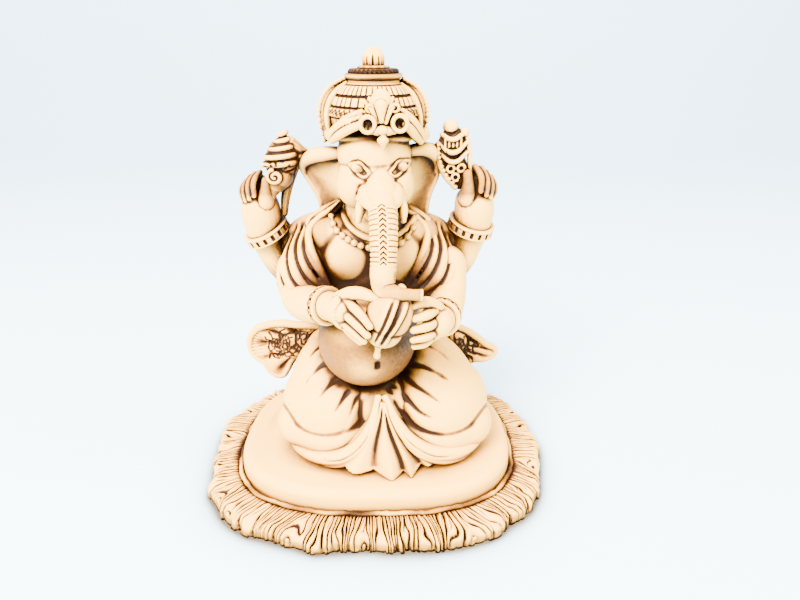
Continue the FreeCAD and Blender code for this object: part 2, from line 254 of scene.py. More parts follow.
class Signal:
    """A number in a shader's nodes, with ordinary arithmetic."""

    def __init__(self, shop: "NodeShop", socket: bpy.types.NodeSocket) -> None:
        self.shop = shop
        self.socket = socket

    def _math(self, operation: str, *values: object, clamp: bool = False) -> "Signal":
        settings = {"operation": operation, "use_clamp": clamp}
        inputs = {i: value for i, value in enumerate(values)}
        return self.shop.node("ShaderNodeMath", settings, inputs)

    def __add__(self, other: object) -> "Signal":
        return self._math("ADD", self, other)

    __radd__ = __add__

    def __sub__(self, other: object) -> "Signal":
        return self._math("SUBTRACT", self, other)

    def __rsub__(self, other: object) -> "Signal":
        return self._math("SUBTRACT", other, self)

    def __mul__(self, other: object) -> "Signal":
        return self._math("MULTIPLY", self, other)

    __rmul__ = __mul__

    def power(self, exponent: float) -> "Signal":
        """The number to a power."""
        return self._math("POWER", self, exponent)

    def clamped(self) -> "Signal":
        """The number kept between 0 and 1."""
        return self._math("ADD", self, 0.0, clamp=True)

    def step(self, low: float, high: float) -> "Signal":
        """0 below low, 1 above high, and smooth between them."""
        settings = {"interpolation_type": "SMOOTHSTEP"}
        inputs = {"Value": self, "From Min": low, "From Max": high, "To Min": 0.0, "To Max": 1.0}
        return self.shop.node("ShaderNodeMapRange", settings, inputs)


class NodeShop:
    """Makes the nodes of one material."""

    def __init__(self, name: str) -> None:
        self.material = bpy.data.materials.new(name)
        self.material.use_nodes = True
        self.tree = self.material.node_tree
        self.tree.nodes.clear()

    def node(
        self, kind: str, settings: dict[str, object], inputs: dict[object, object], output: object = 0
    ) -> Signal:
        """Adds a node.

        Args:
            kind: the node's type.
            settings: its properties, set first.
            inputs: values or signals, by the socket's name or number.
            output: the name or number of the socket to return.

        Returns:
            The output as a signal.
        """
        made = self.tree.nodes.new(kind)
        for key, value in settings.items():
            setattr(made, key, value)
        for key, value in inputs.items():
            if isinstance(value, Signal):
                self.tree.links.new(value.socket, made.inputs[key])
            else:
                made.inputs[key].default_value = value
        return Signal(self, made.outputs[output])

    def mix(self, share: object, low: object, high: object) -> Signal:
        """Blend of two colours."""
        return self.node("ShaderNodeMix", {"data_type": "RGBA"}, {0: share, 6: low, 7: high}, 2)

    def open_sky(self, reach: float, samples: int) -> Signal:
        """Share of the sky that is open within a reach in millimetres."""
        return self.node(
            "ShaderNodeAmbientOcclusion", {"samples": samples}, {"Distance": reach * MM}, "AO"
        )

    def surface(self, inputs: dict[object, object]) -> bpy.types.Material:
        """Puts a principled shader with these inputs on the output, and gives the material."""
        shader = self.node("ShaderNodeBsdfPrincipled", {}, inputs, "BSDF")
        output = self.tree.nodes.new("ShaderNodeOutputMaterial")
        self.tree.links.new(shader.socket, output.inputs["Surface"])
        return self.material

    def noise(self, where: Signal, scale: float, detail: float = 3.0, roughness: float = 0.5) -> Signal:
        """Noise value with a scale in waves for each metre."""
        inputs = {"Vector": where, "Scale": scale, "Detail": detail, "Roughness": roughness}
        return self.node("ShaderNodeTexNoise", {}, inputs)


@dataclass(frozen=True)
class WashedResinWithPaintedShade:
    """Cast ivory resin with a thin brown wash that stays in the carving, and painted shade from ambient
    occlusion in nooks and broad hollows.
    """

    name: str
    slot: str
    ivory: tuple[float, float, float] = (0.93, 0.48, 0.06)
    honey: tuple[float, float, float] = (0.27, 0.105, 0.012)
    umber: tuple[float, float, float] = (0.011, 0.0034, 0.0006)
    # wash scales both the wash in the carving and the painted shade from occlusion.
    wash: float = 1.0
    stain: float = 0.16
    roughness: float = 0.5
    pits: float = 1.0
    sheen: float = 0.07
    # Reach and share of the painted shade from ambient occlusion, in nooks and in broad hollows.
    nook_reach: float = 9.0
    shade_reach: float = 28.0
    carving_share: float = 1.35
    nook_share: float = 0.75
    shade_share: float = 0.80

    def build(self) -> bpy.types.Material:
        """Makes the material.

        Returns:
            The finished material.
        """
        shop = NodeShop(self.name)
        where = shop.node("ShaderNodeTexCoord", {}, {}, "Object")
        # The wash attribute holds the wash in the carving plus each piece's tint, which on some pieces is
        # painted shade.
        hollow = shop.node("ShaderNodeAttribute", {"attribute_name": "wash"}, {}, "Fac")
        # Painted shade: darkening from ambient occlusion in nooks within nook_reach, partly the wash that
        # gathers where pieces meet, and in broad hollows within shade_reach.
        nook = (1.0 - shop.open_sky(self.nook_reach, 6)).clamped()
        shade = (1.0 - shop.open_sky(self.shade_reach, 6)).clamped()
        cloud = shop.noise(where, 90.0, 3.0)
        speck = shop.noise(where, 900.0, 4.0, 0.65)
        wash_and_painted_shade = hollow * (self.carving_share * self.wash)
        wash_and_painted_shade = wash_and_painted_shade + nook.step(0.12, 0.80) * (self.nook_share * self.wash)
        wash_and_painted_shade = wash_and_painted_shade + shade.step(0.22, 0.80) * (self.shade_share * self.wash)
        wash_and_painted_shade = wash_and_painted_shade + (cloud - 0.5) * self.stain
        wash_and_painted_shade = wash_and_painted_shade * (0.70 + speck * 0.60)
        warm = shop.mix(wash_and_painted_shade.step(0.04, 0.60), (*self.ivory, 1.0), (*self.honey, 1.0))
        deep = shop.mix(wash_and_painted_shade.step(0.40, 1.20), warm, (*self.umber, 1.0))
        cell = shop.node(
            "ShaderNodeTexVoronoi", {"feature": "F1"}, {"Vector": where, "Scale": 300.0}, "Distance"
        )
        rare = shop.noise(where, 230.0, 0.0).step(0.62, 0.70)
        pit = (1.0 - cell.step(0.05, 0.11)) * rare * self.pits
        colour = shop.mix(pit * 0.8, deep, (*self.umber, 1.0))
        grain = shop.noise(where, 1500.0, 3.0)
        swell = shop.noise(where, 260.0, 2.0)
        height = grain * 0.35 + swell * 0.8 - pit * 1.6
        bump = shop.node(
            "ShaderNodeBump", {}, {"Strength": 0.35, "Distance": 0.12 * MM, "Height": height}, "Normal"
        )
        rough = (self.roughness - 0.06) + speck * 0.14
        return shop.surface(
            {"Base Color": colour, "Roughness": rough, "Normal": bump, "Specular IOR Level": self.sheen}
        )


# Each finish's wash also scales its painted shade.
SKIN = WashedResinWithPaintedShade("ivory_skin", "skin", wash=1.0)
CLOTH = WashedResinWithPaintedShade("ivory_cloth", "cloth", wash=1.1)
ORNAMENT = WashedResinWithPaintedShade("ivory_ornament", "ornament", wash=1.5, stain=0.24)
PLINTH = WashedResinWithPaintedShade("ivory_plinth", "plinth", wash=0.55, stain=0.10, pits=1.4)
RUG = WashedResinWithPaintedShade("ivory_rug", "rug", wash=1.3, stain=0.34, ivory=(0.92, 0.48, 0.07))


# ---------------------------------------------------------------- modelling tools


@dataclass
class Clay:
    """Clay built up from balls and rolls, then fused and smoothed. Sizes are in millimetres."""

    name: str
    grain: float = 0.4
    soften: int = 6
    lumps: list[bpy.types.Object] = field(default_factory=list)

    def ball(self, centre: Point, radii: Point, turn: Point = (0, 0, 0)) -> None:
        """Adds an egg-shaped lump.

        Args:
            centre: its middle.
            radii: its half sizes.
            turn: its turn about X, Y and Z in degrees.
        """
        deselect()
        fine = 3 if max(radii) > 5 else 1
        bpy.ops.mesh.primitive_uv_sphere_add(
            segments=32 * fine,
            ring_count=20 * fine,
            radius=1.0,
            location=centre,
            rotation=[math.radians(a) for a in turn],
            scale=radii,
        )
        self.lumps.append(bpy.context.object)

    def roll(self, points: Sequence[Point], radii: Sequence[float]) -> None:
        """Adds a round roll of changing thickness on a smooth path.

        Args:
            points: the path.
            radii: the thickness at each point, as a radius.
        """
        deselect()
        bpy.ops.curve.primitive_bezier_curve_add()
        curve = bpy.context.object
        line = curve.data.splines[0]
        line.bezier_points.add(len(points) - 2)
        for knot, point, radius in zip(line.bezier_points, points, radii):
            knot.co = point
            knot.radius = radius
            knot.handle_left_type = knot.handle_right_type = "AUTO"
        line.radius_interpolation = "CARDINAL"
        curve.data.resolution_u = 8
        curve.data.bevel_depth = 1.0
        curve.data.bevel_resolution = 9 if max(radii) > 2.5 else 4
        curve.data.use_fill_caps = True
        bpy.ops.object.convert(target="MESH")
        self.lumps.append(bpy.context.object)
        for point, radius in ((points[0], radii[0]), (points[-1], radii[-1])):
            self.ball(point, (radius,) * 3)

    def mould(self) -> bpy.types.Object:
        """Fuses the lumps into one smooth body.

        Returns:
            The body, still in millimetres.
        """
        pick(self.lumps[0])
        for lump in self.lumps:
            lump.select_set(True)
        bpy.ops.object.join()
        body = bpy.context.object
        bpy.ops.object.transform_apply(location=True, rotation=True, scale=True)
        body.name = self.name
        apply_modifier(body, "REMESH", mode="VOXEL", voxel_size=self.grain)
        apply_modifier(body, "SMOOTH", factor=0.6, iterations=self.soften)
        return body


class Carver:
    """Presses grooves and raises ridges on a body, and finds points on its surface."""

    def __init__(self, body: bpy.types.Object) -> None:
        self.body = body
        self.points = read_points(body.data)
        self.normals = read_normals(body.data)
        self.tree = BVHTree.FromObject(body, bpy.context.evaluated_depsgraph_get())

    def hit(self, start: Point, way: Point) -> tuple[Vector, Vector] | None:
        """Where a ray meets the body.

        Args:
            start: the ray's start.
            way: its direction.

        Returns:
            The point and the normal there, or None where it misses.
        """
        spot, normal, _, _ = self.tree.ray_cast(Vector(start), Vector(way).normalized())
        return None if spot is None else (spot, normal)

    def front(self, x: float, z: float) -> Vector:
        """The body's surface seen from the front at x and z."""
        found = self.hit((x, -200.0, z), (0, 1, 0))
        return found[0] if found else Vector((x, 0, z))

    def lay(self, path: Sequence[Point], spacing: float = 0.35) -> np.ndarray:
        """Lays a path on the surface.

        Args:
            path: points near the surface. Points with two numbers are x and z seen from the front.
            spacing: distance between the points returned.

        Returns:
            Close points on the surface.
        """
        rows = [tuple(self.front(*p)) if len(p) == 2 else tuple(p) for p in path]
        length = sum(math.dist(a, b) for a, b in zip(rows, rows[1:]))
        curve = spline(rows, max(4, int(length / spacing)))
        return np.array([self.tree.find_nearest(Vector(p))[0] for p in curve])

    def stroke(
        self, path: Sequence[
            Point
        ], width: float, height: float, sharp: float = 1.5, fade: Fade = Fade.ENDS
    ) -> None:
        """Pushes the surface in or out along a path.

        Args:
            path: points near the surface.
            width: reach on each side of the path.
            height: how far to push, negative for a groove.
            sharp: 1 for a V, larger for a narrower bottom.
            fade: where the stroke grows weaker, at both ends unless it is given.
        """
        line = self.lay(path)
        low, high = line.min(0) - width, line.max(0) + width
        near = np.nonzero(np.all((self.points > low) & (self.points < high), axis=1))[0]
        if not len(near):
            return
        gaps = self.points[near][:, None, :] - line[None, :, :]
        reach = np.sqrt((gaps**2).sum(2))
        nearest = reach.argmin(1)
        distance = reach.min(1) / width
        amount = np.clip(1 - distance, 0, 1) ** sharp
        place = nearest / max(1, len(line) - 1)
        if fade is Fade.AWAY:
            amount *= np.clip(1 - place, 0, 1) ** 0.8
        elif fade is not Fade.NONE:
            amount *= np.clip(1.08 - np.abs(2 * place - 1) ** 3, 0, 1)
        self.points[near] += self.normals[near] * (amount * height)[:, None]

    def dent(self, centre: Point, radii: float, height: float) -> None:
        """Pushes a round spot of the surface in or out."""
        gaps = np.sqrt(((self.points - np.asarray(centre)) ** 2).sum(1)) / radii
        amount = np.clip(1 - gaps**2, 0, 1) ** 2
        self.points += self.normals * (amount * height)[:, None]

    def finish(self) -> bpy.types.Object:
        """Writes the new positions to the body and returns it."""
        write_points(self.body.data, self.points)
        return self.body


def wrapped(name: str, columns: int, rows: int, place: Shape) -> bpy.types.Object:
    """Lays a grid on a closed surface and sews up its seams.

    Args:
        name: the new object's name.
        columns: faces in the first direction.
        rows: faces in the second direction.
        place: gives points in millimetres for two arrays that go from 0 to 1.

    Returns:
        The closed mesh object, in millimetres.
    """
    deselect()
    bpy.ops.mesh.primitive_grid_add(x_subdivisions=columns, y_subdivisions=rows, size=1.0)
    item = bpy.context.object
    item.name = name
    flat = read_points(item.data)
    write_points(item.data, place(flat[:, 0] + 0.5, flat[:, 1] + 0.5))
    bpy.ops.object.mode_set(mode="EDIT")
    bpy.ops.mesh.select_all(action="SELECT")
    bpy.ops.mesh.remove_doubles(threshold=0.002)
    bpy.ops.mesh.normals_make_consistent(inside=False)
    bpy.ops.object.mode_set(mode="OBJECT")
    if signed_volume(item.data) < 0:
        item.data.flip_normals()
    return item


def signed_volume(mesh: bpy.types.Mesh) -> float:
    """Volume inside the mesh, negative when its normals point inwards."""
    mesh.calc_loop_triangles()
    corners = np.empty(len(mesh.loop_triangles) * 3, dtype=np.int64)
    mesh.loop_triangles.foreach_get("vertices", corners)
    triangle = read_points(mesh)[corners].reshape(-1, 3, 3)
    return float((triangle[:, 0] * np.cross(triangle[:, 1], triangle[:, 2])).sum() / 6)


def tube_shape(path: Sequence[Point], thickness: Callable[[np.ndarray, np.ndarray], np.ndarray]) -> Shape:
    """Surface of a bar along a path, closed at both ends.

    Args:
        path: rows of x, y, z and radius.
        thickness: factor on the radius for the share of the length and the angle from the front.

    Returns:
        A function for wrapped.
    """
    line = spline(path, 400)
    along = np.gradient(line[:, :3], axis=0)
    along /= np.linalg.norm(along, axis=1)[:, None]
    front = np.array([0.0, -1.0, 0.0]) - along * -along[:, 1:2]
    front /= np.linalg.norm(front, axis=1)[:, None]
    side = np.cross(along, front)

    def place(u: np.ndarray, v: np.ndarray) -> np.ndarray:
        angle = 2 * math.pi * u
        cap = np.clip(np.minimum(v, 1 - v) / 0.02, 0, 1)
        share = np.clip((v - 0.02) / 0.96, 0, 1)
        at = share * (len(line) - 1)

        def row(table: np.ndarray) -> np.ndarray:
            return np.stack([np.interp(at, np.arange(len(line)), column) for column in table.T], 1)

        radius = row(line[:, 3:4])[:, 0] * thickness(share, angle) * np.sqrt(1 - (1 - cap) ** 2)
        ring = row(front) * np.cos(angle)[:, None] + row(side) * np.sin(angle)[:, None]
        return row(line[:, :3]) + ring * radius[:, None]

    return place


def settle_wash_and_shade(item: bpy.types.Object, tint: Tint, fine: float = 0.06, broad: float = 0.24) -> None:
    """Works out how much wash stays at each point from how hollow the surface is there, and adds the
    piece's tint, which on some pieces is painted shade.

    Args:
        item: the object, in millimetres.
        tint: extra darkening for rows of points, painted shade on some pieces.
        fine: depth of a small hollow that is full of wash.
        broad: the same for a large hollow.
    """
    mesh = item.data
    points, normals, edges = read_points(mesh), read_normals(mesh), read_edges(mesh)
    near = diffuse(points, edges, 4)
    far = diffuse(near, edges, 24)
    small = ((near - points) * normals).sum(1) / fine
    large = ((far - points) * normals).sum(1) / broad
    depth = np.clip(small, -0.3, 1.1) * 0.75 + np.clip(large, -0.25, 1.2) * 0.65
    depth = diffuse(depth[:, None], edges, 2)[:, 0] + tint(points)
    # Stored as the wash attribute: the wash in the carving plus the tint, which is painted shade on some
    # pieces.
    layer = mesh.attributes.new("wash", "FLOAT", "POINT")
    layer.data.foreach_set("value", np.clip(depth, 0, 1.6))


def node_box(node: str) -> tuple[np.ndarray, np.ndarray]:
    """Lowest and highest corner of a CAD node, in millimetres."""
    low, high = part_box(node)
    return np.array(low) / MM, np.array(high) / MM


@dataclass
class Workshop:
    """Dresses finished bodies and hands them to the frame."""

    materials: dict[str, bpy.types.Material] = field(default_factory=dict)

    def hand_over(
        self,
        item: bpy.types.Object,
        name: str,
        resin: WashedResinWithPaintedShade,
        nodes: Sequence[str],
        tint: Tint = no_tint,
    ) -> None:
        """Finishes one piece, which rides on the object's one body.

        Args:
            item: the body in millimetres.
            name: the piece's name.
            resin: its finish.
            nodes: CAD nodes that it stands for.
            tint: extra darkening for rows of points, painted shade on some pieces.
        """
        settle_wash_and_shade(item, tint)
        mesh = item.data
        write_points(mesh, read_points(mesh) * MM)
        pick(item)
        bpy.ops.object.shade_smooth()
        item.name = mesh.name = name
        mesh.materials.clear()
        mesh.materials.append(self.material(resin))
        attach(item, "root")
        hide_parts(*nodes)
        LOG.info("%s: %d faces", name, len(mesh.polygons))

    def material(self, resin: WashedResinWithPaintedShade) -> bpy.types.Material:
        """The finish's material, made once."""
        if resin.name not in self.materials:
            self.materials[resin.name] = resin.build()
        return self.materials[resin.name]


@dataclass
class Assembly:
    """Pieces drawn together in millimetres, and put in place by one node of the frame."""

    shop: Workshop
    anchor: str
    home: Triple

    def deliver(
        self,
        item: bpy.types.Object,
        name: str,
        resin: WashedResinWithPaintedShade,
        nodes: Sequence[str],
        tint: Tint = no_tint,
    ) -> None:
        """Moves a body so that the drawing meets the frame, and hands it over.

        Args:
            item: the body in millimetres.
            name: the piece's name.
            resin: its finish.
            nodes: CAD nodes that it stands for.
            tint: extra darkening for rows of points, painted shade on some pieces.
        """
        low, high = node_box(self.anchor)
        shift = (low + high) / 2 - np.array(self.home)
        write_points(item.data, read_points(item.data) + shift)
        self.shop.hand_over(item, name, resin, nodes, tint)


# ---------------------------------------------------------------- base


def oval(angle: np.ndarray, half_width: float, half_depth: float, power: float) -> np.ndarray:
    """Radius of a rounded rectangle seen from above, at each angle."""
    across = (np.abs(np.cos(angle)) / half_width) ** power + (np.abs(np.sin(angle)) / half_depth) ** power
    return across ** (-1 / power)


@dataclass
class Base(Assembly):
    """Fringed rug, cord and cushion-shaped plinth."""

    anchor: str = "rug_field"
    home: Triple = (0.0, 0.0, 2.5)
    plinth_power: float = 2.75
    plinth_edge: float = 3.4
    cord_radius: float = 1.05
    cord_gap: float = 1.2
    rug_margin: tuple[float, float] = (0.5, 0.4)
    rug_power: float = 2.5
    strands: int = 200
    crest: float = 6.9

    def __post_init__(self) -> None:
        """Takes the plinth's and the rug's sizes from the frame."""
        _, plinth = node_box("plinth")
        _, rug = node_box("fringe_border")
        self.plinth_half = (plinth[0], plinth[1])
        self.plinth_top = plinth[2]
        self.rug_half = (rug[0] - self.rug_margin[0], rug[1] - self.rug_margin[1])

    def make(self) -> None:
        """Builds the three pieces."""
        self.deliver(self.fringe(), "rug_fringe", RUG, ["fringe_border", "rug_field"], self.inner_wash)
        self.deliver(self.cord(), "welt_cord", RUG, ["border_cord"], self.inner_wash)
        self.deliver(self.plinth(), "cushion_plinth", PLINTH, ["plinth"])

    def inner_wash(self, points: np.ndarray) -> np.ndarray:
        """Wash that has gathered beside the cord."""
        x, y, _ = points.T
        angle = np.arctan2(y, x)
        gap = np.hypot(x, y) - oval(angle, *self.plinth_half, self.plinth_power)
        return (0.66 + 0.3 * ripple(angle, 61, (5, 9, 14))) * np.exp(-(((gap - 1.6) / 2.6) ** 2))

    def plinth(self) -> bpy.types.Object:
        """Smooth cushion with a soft upper edge."""
        turn = np.linspace(0, math.pi / 2, 12)
        edge, top = self.plinth_edge, self.plinth_top
        inset = [50.0, 0.4, 0.0, -0.1] + list(edge * (1 - np.cos(turn))) + [9.0, 20.0, 50.0]
        height = (
            [4.0, 4.0, 5.2, 8.0] + list(top - edge + edge * np.sin(turn))
            + [top + 0.05, top + 0.1, top + 0.1]
        )
        step = np.linspace(0, 1, len(inset))

        def place(u: np.ndarray, v: np.ndarray) -> np.ndarray:
            angle = 2 * math.pi * u
            outline = oval(angle, *self.plinth_half, self.plinth_power)
            outline = outline + 0.25 * ripple(angle, 3, (3, 5, 7))
            radius = np.maximum(outline - np.interp(v, step, inset), 0.0) * (v < 1)
            radius = radius * (v > 0)
            z = np.interp(v, step, height) + 0.12 * ripple(angle, 5, (2, 3, 5)) * (v > 0.25) * (v < 0.9)
            return np.stack((radius * np.cos(angle), radius * np.sin(angle), z), 1)

        return wrapped("cushion_plinth", 260, 92, place)

    def cord(self) -> bpy.types.Object:
        """Uneven round cord at the plinth's foot."""
        radius = self.cord_radius

        def place(u: np.ndarray, v: np.ndarray) -> np.ndarray:
            angle, around = 2 * math.pi * u, 2 * math.pi * v
            lump = radius * (1 + 0.16 * ripple(angle, 11, (31, 47, 68, 90)))
            edge = oval(angle, *self.plinth_half, self.plinth_power) + self.cord_gap
            edge = edge + 0.3 * ripple(angle, 8, (9, 14, 23))
            out = edge + lump * np.cos(around)
            z = 6.0 + lump * np.sin(around)
            return np.stack((out * np.cos(angle), out * np.sin(angle), z), 1)

        return wrapped("welt_cord", 900, 12, place)

    def fringe(self) -> bpy.types.Object:
        """Ring of tufted strands that run outwards and hang over the rim."""
        dice = np.random.default_rng(41)
        count = self.strands
        tip = dice.uniform(-1, 1, count)
        tall = dice.uniform(-1, 1, count)
        cleft = dice.uniform(0.3, 1.25, count) ** 1.5
        start = dice.uniform(0.0, 0.55, count)
        keys = [0.0, 0.04, 0.12, 0.72, 0.86, 0.95, 1.0]
        reach_keys = [-0.16, -0.16, -0.02, 0.86, 0.99, 1.0, -0.16]
        lift_keys = [0.0, 0.62, 0.86, 1.0, 0.74, 0.0, 0.0]

        def place(u: np.ndarray, v: np.ndarray) -> np.ndarray:
            angle = 2 * math.pi * u
            reach = np.interp(v, keys, reach_keys)
            lift = np.interp(v, keys, lift_keys)
            top = np.clip((v - 0.04) / 0.08, 0, 1) * np.clip((0.955 - v) / 0.02, 0, 1)
            lean = 0.055 * ripple(angle, 21, (7, 11, 17)) + 0.030 * ripple(angle, 22, (23, 31, 44))
            bend = 0.013 * np.sin(7 * reach + 3 * ripple(angle, 23, (13, 19)))
            twisted = (angle + (lean * reach + bend * reach**2) * top) % (2 * math.pi)
            reach_in = np.maximum(reach, 0)
            cell = twisted / (2 * math.pi) * count
            warp = 0.30 * ripple(twisted, 24, (29, 37, 53))
            cell = (cell + warp) % count
            index = cell.astype(int) % count
            part = cell - np.floor(cell)
            dome = np.sqrt(np.clip(1 - (2 * part - 1) ** 2, 0, 1))
            hairs = np.abs(np.sin(part * math.pi * 2 + 5 * tall[index] + 4 * reach))
            patchy = 0.62 + 0.38 * np.sin(8 * reach + 9 * tall[index])
            opened = np.clip((reach - start[index] + 0.25) / 0.3, 0.25, 1)
            gap = (1 - dome) * patchy * cleft[index] * opened
            wave = 1.1 * ripple(angle, 31, (5, 8, 9, 13)) + 0.55 * ripple(angle, 32, (17, 23, 29))
            inner = oval(angle, self.plinth_half[0] + 1.4, self.plinth_half[1] + 1.4, self.plinth_power)
            outer = oval(angle, *self.rug_half, self.rug_power) - 0.9 + wave
            outer = outer + (0.75 * tip[index] - 1.5 * gap) * np.clip((reach - 0.6) / 0.4, 0, 1)
            crest = self.crest - 2.4 * reach_in**1.4 + 0.55 * ripple(angle, 33, (6, 10, 15)) * reach
            crest = crest - 1.2 * np.exp(-((reach / 0.10) ** 2))
            relief = 0.55 * dome + 0.45 * hairs * dome + 0.55 * tall[index] * reach
            relief = (relief - (2.4 + 1.2 * reach**3) * gap) * top
            radius = inner + (outer - inner) * reach
            z = np.maximum((crest + relief) * lift, 0.0)
            z = np.where(v >= 0.95, 0.0, z)
            return np.stack((radius * np.cos(angle), radius * np.sin(angle), z), 1)

        return wrapped("rug_fringe", 2500, 38, place)


# ---------------------------------------------------------------- body


@dataclass
class Legs(Assembly):
    """Crossed legs in a wrapped cloth, with rolled hems and a fan of pleats."""

    anchor: str = "pleat_fan"
    home: Triple = (5.895, -23.519, 23.8)

    def make(self) -> None:
        """Builds the legs, the hems and the pleats."""
        self.deliver(
            self.lap(), "crossed_legs", CLOTH, ["right_leg", "left_leg", "seat_drape"], self.lap_shade_and_wash
        )
        self.deliver(self.hems(), "rolled_hems", CLOTH, ["right_hem", "left_hem"])
        self.deliver(self.pleats(), "pleat_fan_folds", CLOTH, ["pleat_fan"])

    @staticmethod
    def lap_shade_and_wash(points: np.ndarray) -> np.ndarray:
        """Painted shade, with some wash, in the lap round the belly's foot, where the belly overhangs."""
        x, y, z = points.T
        rim = np.hypot((x + 2.4) / 17.0, (z - 56.6) / 15.9)
        return 0.85 * np.exp(-(((rim - 1.0) / 0.14) ** 2)) * (y < 0)

    def lap(self) -> bpy.types.Object:
        """Both legs as one soft mass with creases that start under the belly."""
        clay = Clay("lap", 0.55, 6)
        clay.ball((-1, 9, 26.5), (26, 19.5, 18))
        clay.ball((-15.5, -4.5, 29.0), (18.6, 19.5, 16.2), (0, 8, 12))
        clay.ball((22.0, -4.5, 29.5), (19.2, 19.5, 16.4), (0, -8, -12))
        clay.roll([(-15, 8, 41), (-17, 0, 37), (-18, -7, 30)], [12.5, 14, 14.5])
        clay.roll([(16, 8, 41), (21, 0, 37), (24, -7, 31)], [12.5, 14.2, 15])
        clay.roll([(-26, -11, 24), (-13, -16.5, 23), (0, -16.5, 25)], [9.5, 8.5, 6])
        clay.roll([(33, -11, 24), (20, -16.5, 23), (6, -16.5, 25)], [9.5, 8.5, 6])
        clay.ball((2.5, -11, 30), (13, 11, 12))
        body = clay.mould()
        carver = Carver(body)
        for path, width, depth in self.creases():
            carver.stroke(path, width * 0.55, -depth * 0.9, 1.1, Fade.AWAY)
            for shift in (-1.1, 1.1):
                raised = [(x, z + width * shift) for x, z in path]
                carver.stroke(raised, width * 1.2, depth * 0.55, 1.6, Fade.AWAY)
        body = carver.finish()
        apply_modifier(body, "SMOOTH", factor=0.6, iterations=6)
        return body

    @staticmethod
    def creases() -> list[tuple[list[Point], float, float]]:
        """Creases of the cloth, each with its path seen from the front, its reach and its depth."""
        return [
            ([(-10.5, 47.0), (-14.6, 50.4), (-19.5, 50.4), (-25.0, 46.0)], 2.6, 1.5),
            ([(-8.4, 44.0), (-13.1, 46.8), (-18.5, 46.6), (-24.2, 41.4)], 2.6, 1.5),
            ([(-6.6, 42.0), (-10.6, 43.4), (-15.5, 42.0), (-20.0, 37.4)], 2.3, 1.4),
            ([(-5.0, 41.2), (-8.4, 40.6), (-11.6, 37.4), (-15.4, 32.2)], 2.1, 1.3),
            ([(-3.2, 41.0), (-5.8, 38.8), (-8.0, 34.0), (-11.0, 28.0)], 1.9, 1.1),
            ([(10.6, 47.6), (13.6, 49.6), (18.6, 50.8), (28.6, 46.0)], 2.6, 1.5),
            ([(10.0, 44.4), (14.2, 45.8), (20.0, 45.8), (29.6, 41.2)], 2.6, 1.5),
            ([(8.6, 42.0), (12.6, 41.6), (18.2, 40.4), (26.0, 36.0)], 2.3, 1.3),
            ([(5.8, 41.0), (10.2, 38.4), (16.0, 34.8), (24.0, 32.2)], 2.1, 1.2),
            ([(4.8, 40.6), (8.2, 35.2), (14.6, 29.6), (24.4, 27.0)], 2.0, 1.1),
        ]

    def hems(self) -> bpy.types.Object:
        """Thick rolled edges that run from the middle down over the shins."""
        clay = Clay("hems", 0.35, 4)
        right = [
            (1.6, -22.0, 41), (0.2, -24.4, 34), (-3.6, -26.0, 26.0), (-10.5, -25.6, 19.6),
            (-19, -22.6, 16.8),
        ]
        right += [(-26.5, -17.0, 16.2), (-31.5, -9, 17.2)]
        left = [
            (4.0, -22.0, 41), (7.6, -24.4, 33), (13.0, -25.8, 25.8), (20.5, -25.0, 20.6),
            (29, -21.4, 18.2),
        ]
        left += [(35.4, -15.5, 18.2), (39.4, -8, 19.5)]
        for way in (right, left):
            thick = np.interp(
                np.linspace(0, 1, 15), np.linspace(0, 1, 7), [1.2, 1.7, 2.4, 2.9, 2.9, 2.6, 1.8]
            )
            clay.roll([tuple(p) for p in spline(way, 15)], list(thick))
            lower = [(x * 0.985 + 0.4, y - 0.5, max(z - 2.2, 15.2)) for x, y, z in way[1:-1]]
            clay.roll(lower, [1.0, 1.6, 1.9, 1.9, 1.6])
        carver = Carver(clay.mould())
        for way in (right, left):
            edge = [(x, y - 2.6, z + 0.3) for x, y, z in way[1:5]]
            carver.stroke(edge, 0.9, -0.45, 1.2)
        return carver.finish()

    def pleats(self) -> bpy.types.Object:
        """Cloth that fans out between the feet to a wavy edge."""

        def place(u: np.ndarray, v: np.ndarray) -> np.ndarray:
            across = 1 - np.abs(2 * u - 1)
            front = np.where(u < 0.5, -1.0, 1.0)
            spread = across - 0.5
            fall = v
            swing = 2 * math.pi * (4.1 * across + 0.40) + 1.1 * np.sin(2.6 * across * math.pi)
            fold = 1.0 - 2.0 * np.abs(np.sin(swing / 2)) ** 1.25
            lobe = np.abs(np.sin(swing / 2)) ** 0.4
            reach = 1 - (2 * spread) ** 2
            sway = (0.5 * np.sin(swing) + 0.9 * np.sin(4.5 * fall + 7 * across)) * fall
            x = 3.4 + spread * (3.4 + 36.0 * fall**1.25) + sway
            y = -24.0 - (1.6 + 4.9 * reach) * fall**0.9 + 1.45 * fold * (0.35 + 0.65 * fall)
            lower_edge = (0.9 * np.sin(5 * across + 1) - 2.4 * lobe + 1.3) * fall**3
            z = 40.0 - 24.9 * fall**0.86 + lower_edge + 3.0 * (1 - reach) * fall
            thick = 1.5 * np.sqrt(np.clip(np.sin(math.pi * across) * 4, 0, 1))
            thick = thick * np.sqrt(np.clip(np.sin(math.pi * v) * 9, 0, 1))
            y = y + np.where(front > 0, thick * 2.4, -thick * 0.2) + 3.0 * (np.abs(2 * spread) ** 5)
            z = z + np.where(front > 0, 0.5, -0.2) * thick
            return np.stack((x, y, z), 1)

        item = wrapped("pleats", 320, 100, place)
        apply_modifier(item, "REMESH", mode="VOXEL", voxel_size=0.35)
        apply_modifier(item, "SMOOTH", factor=0.5, iterations=3)
        return item


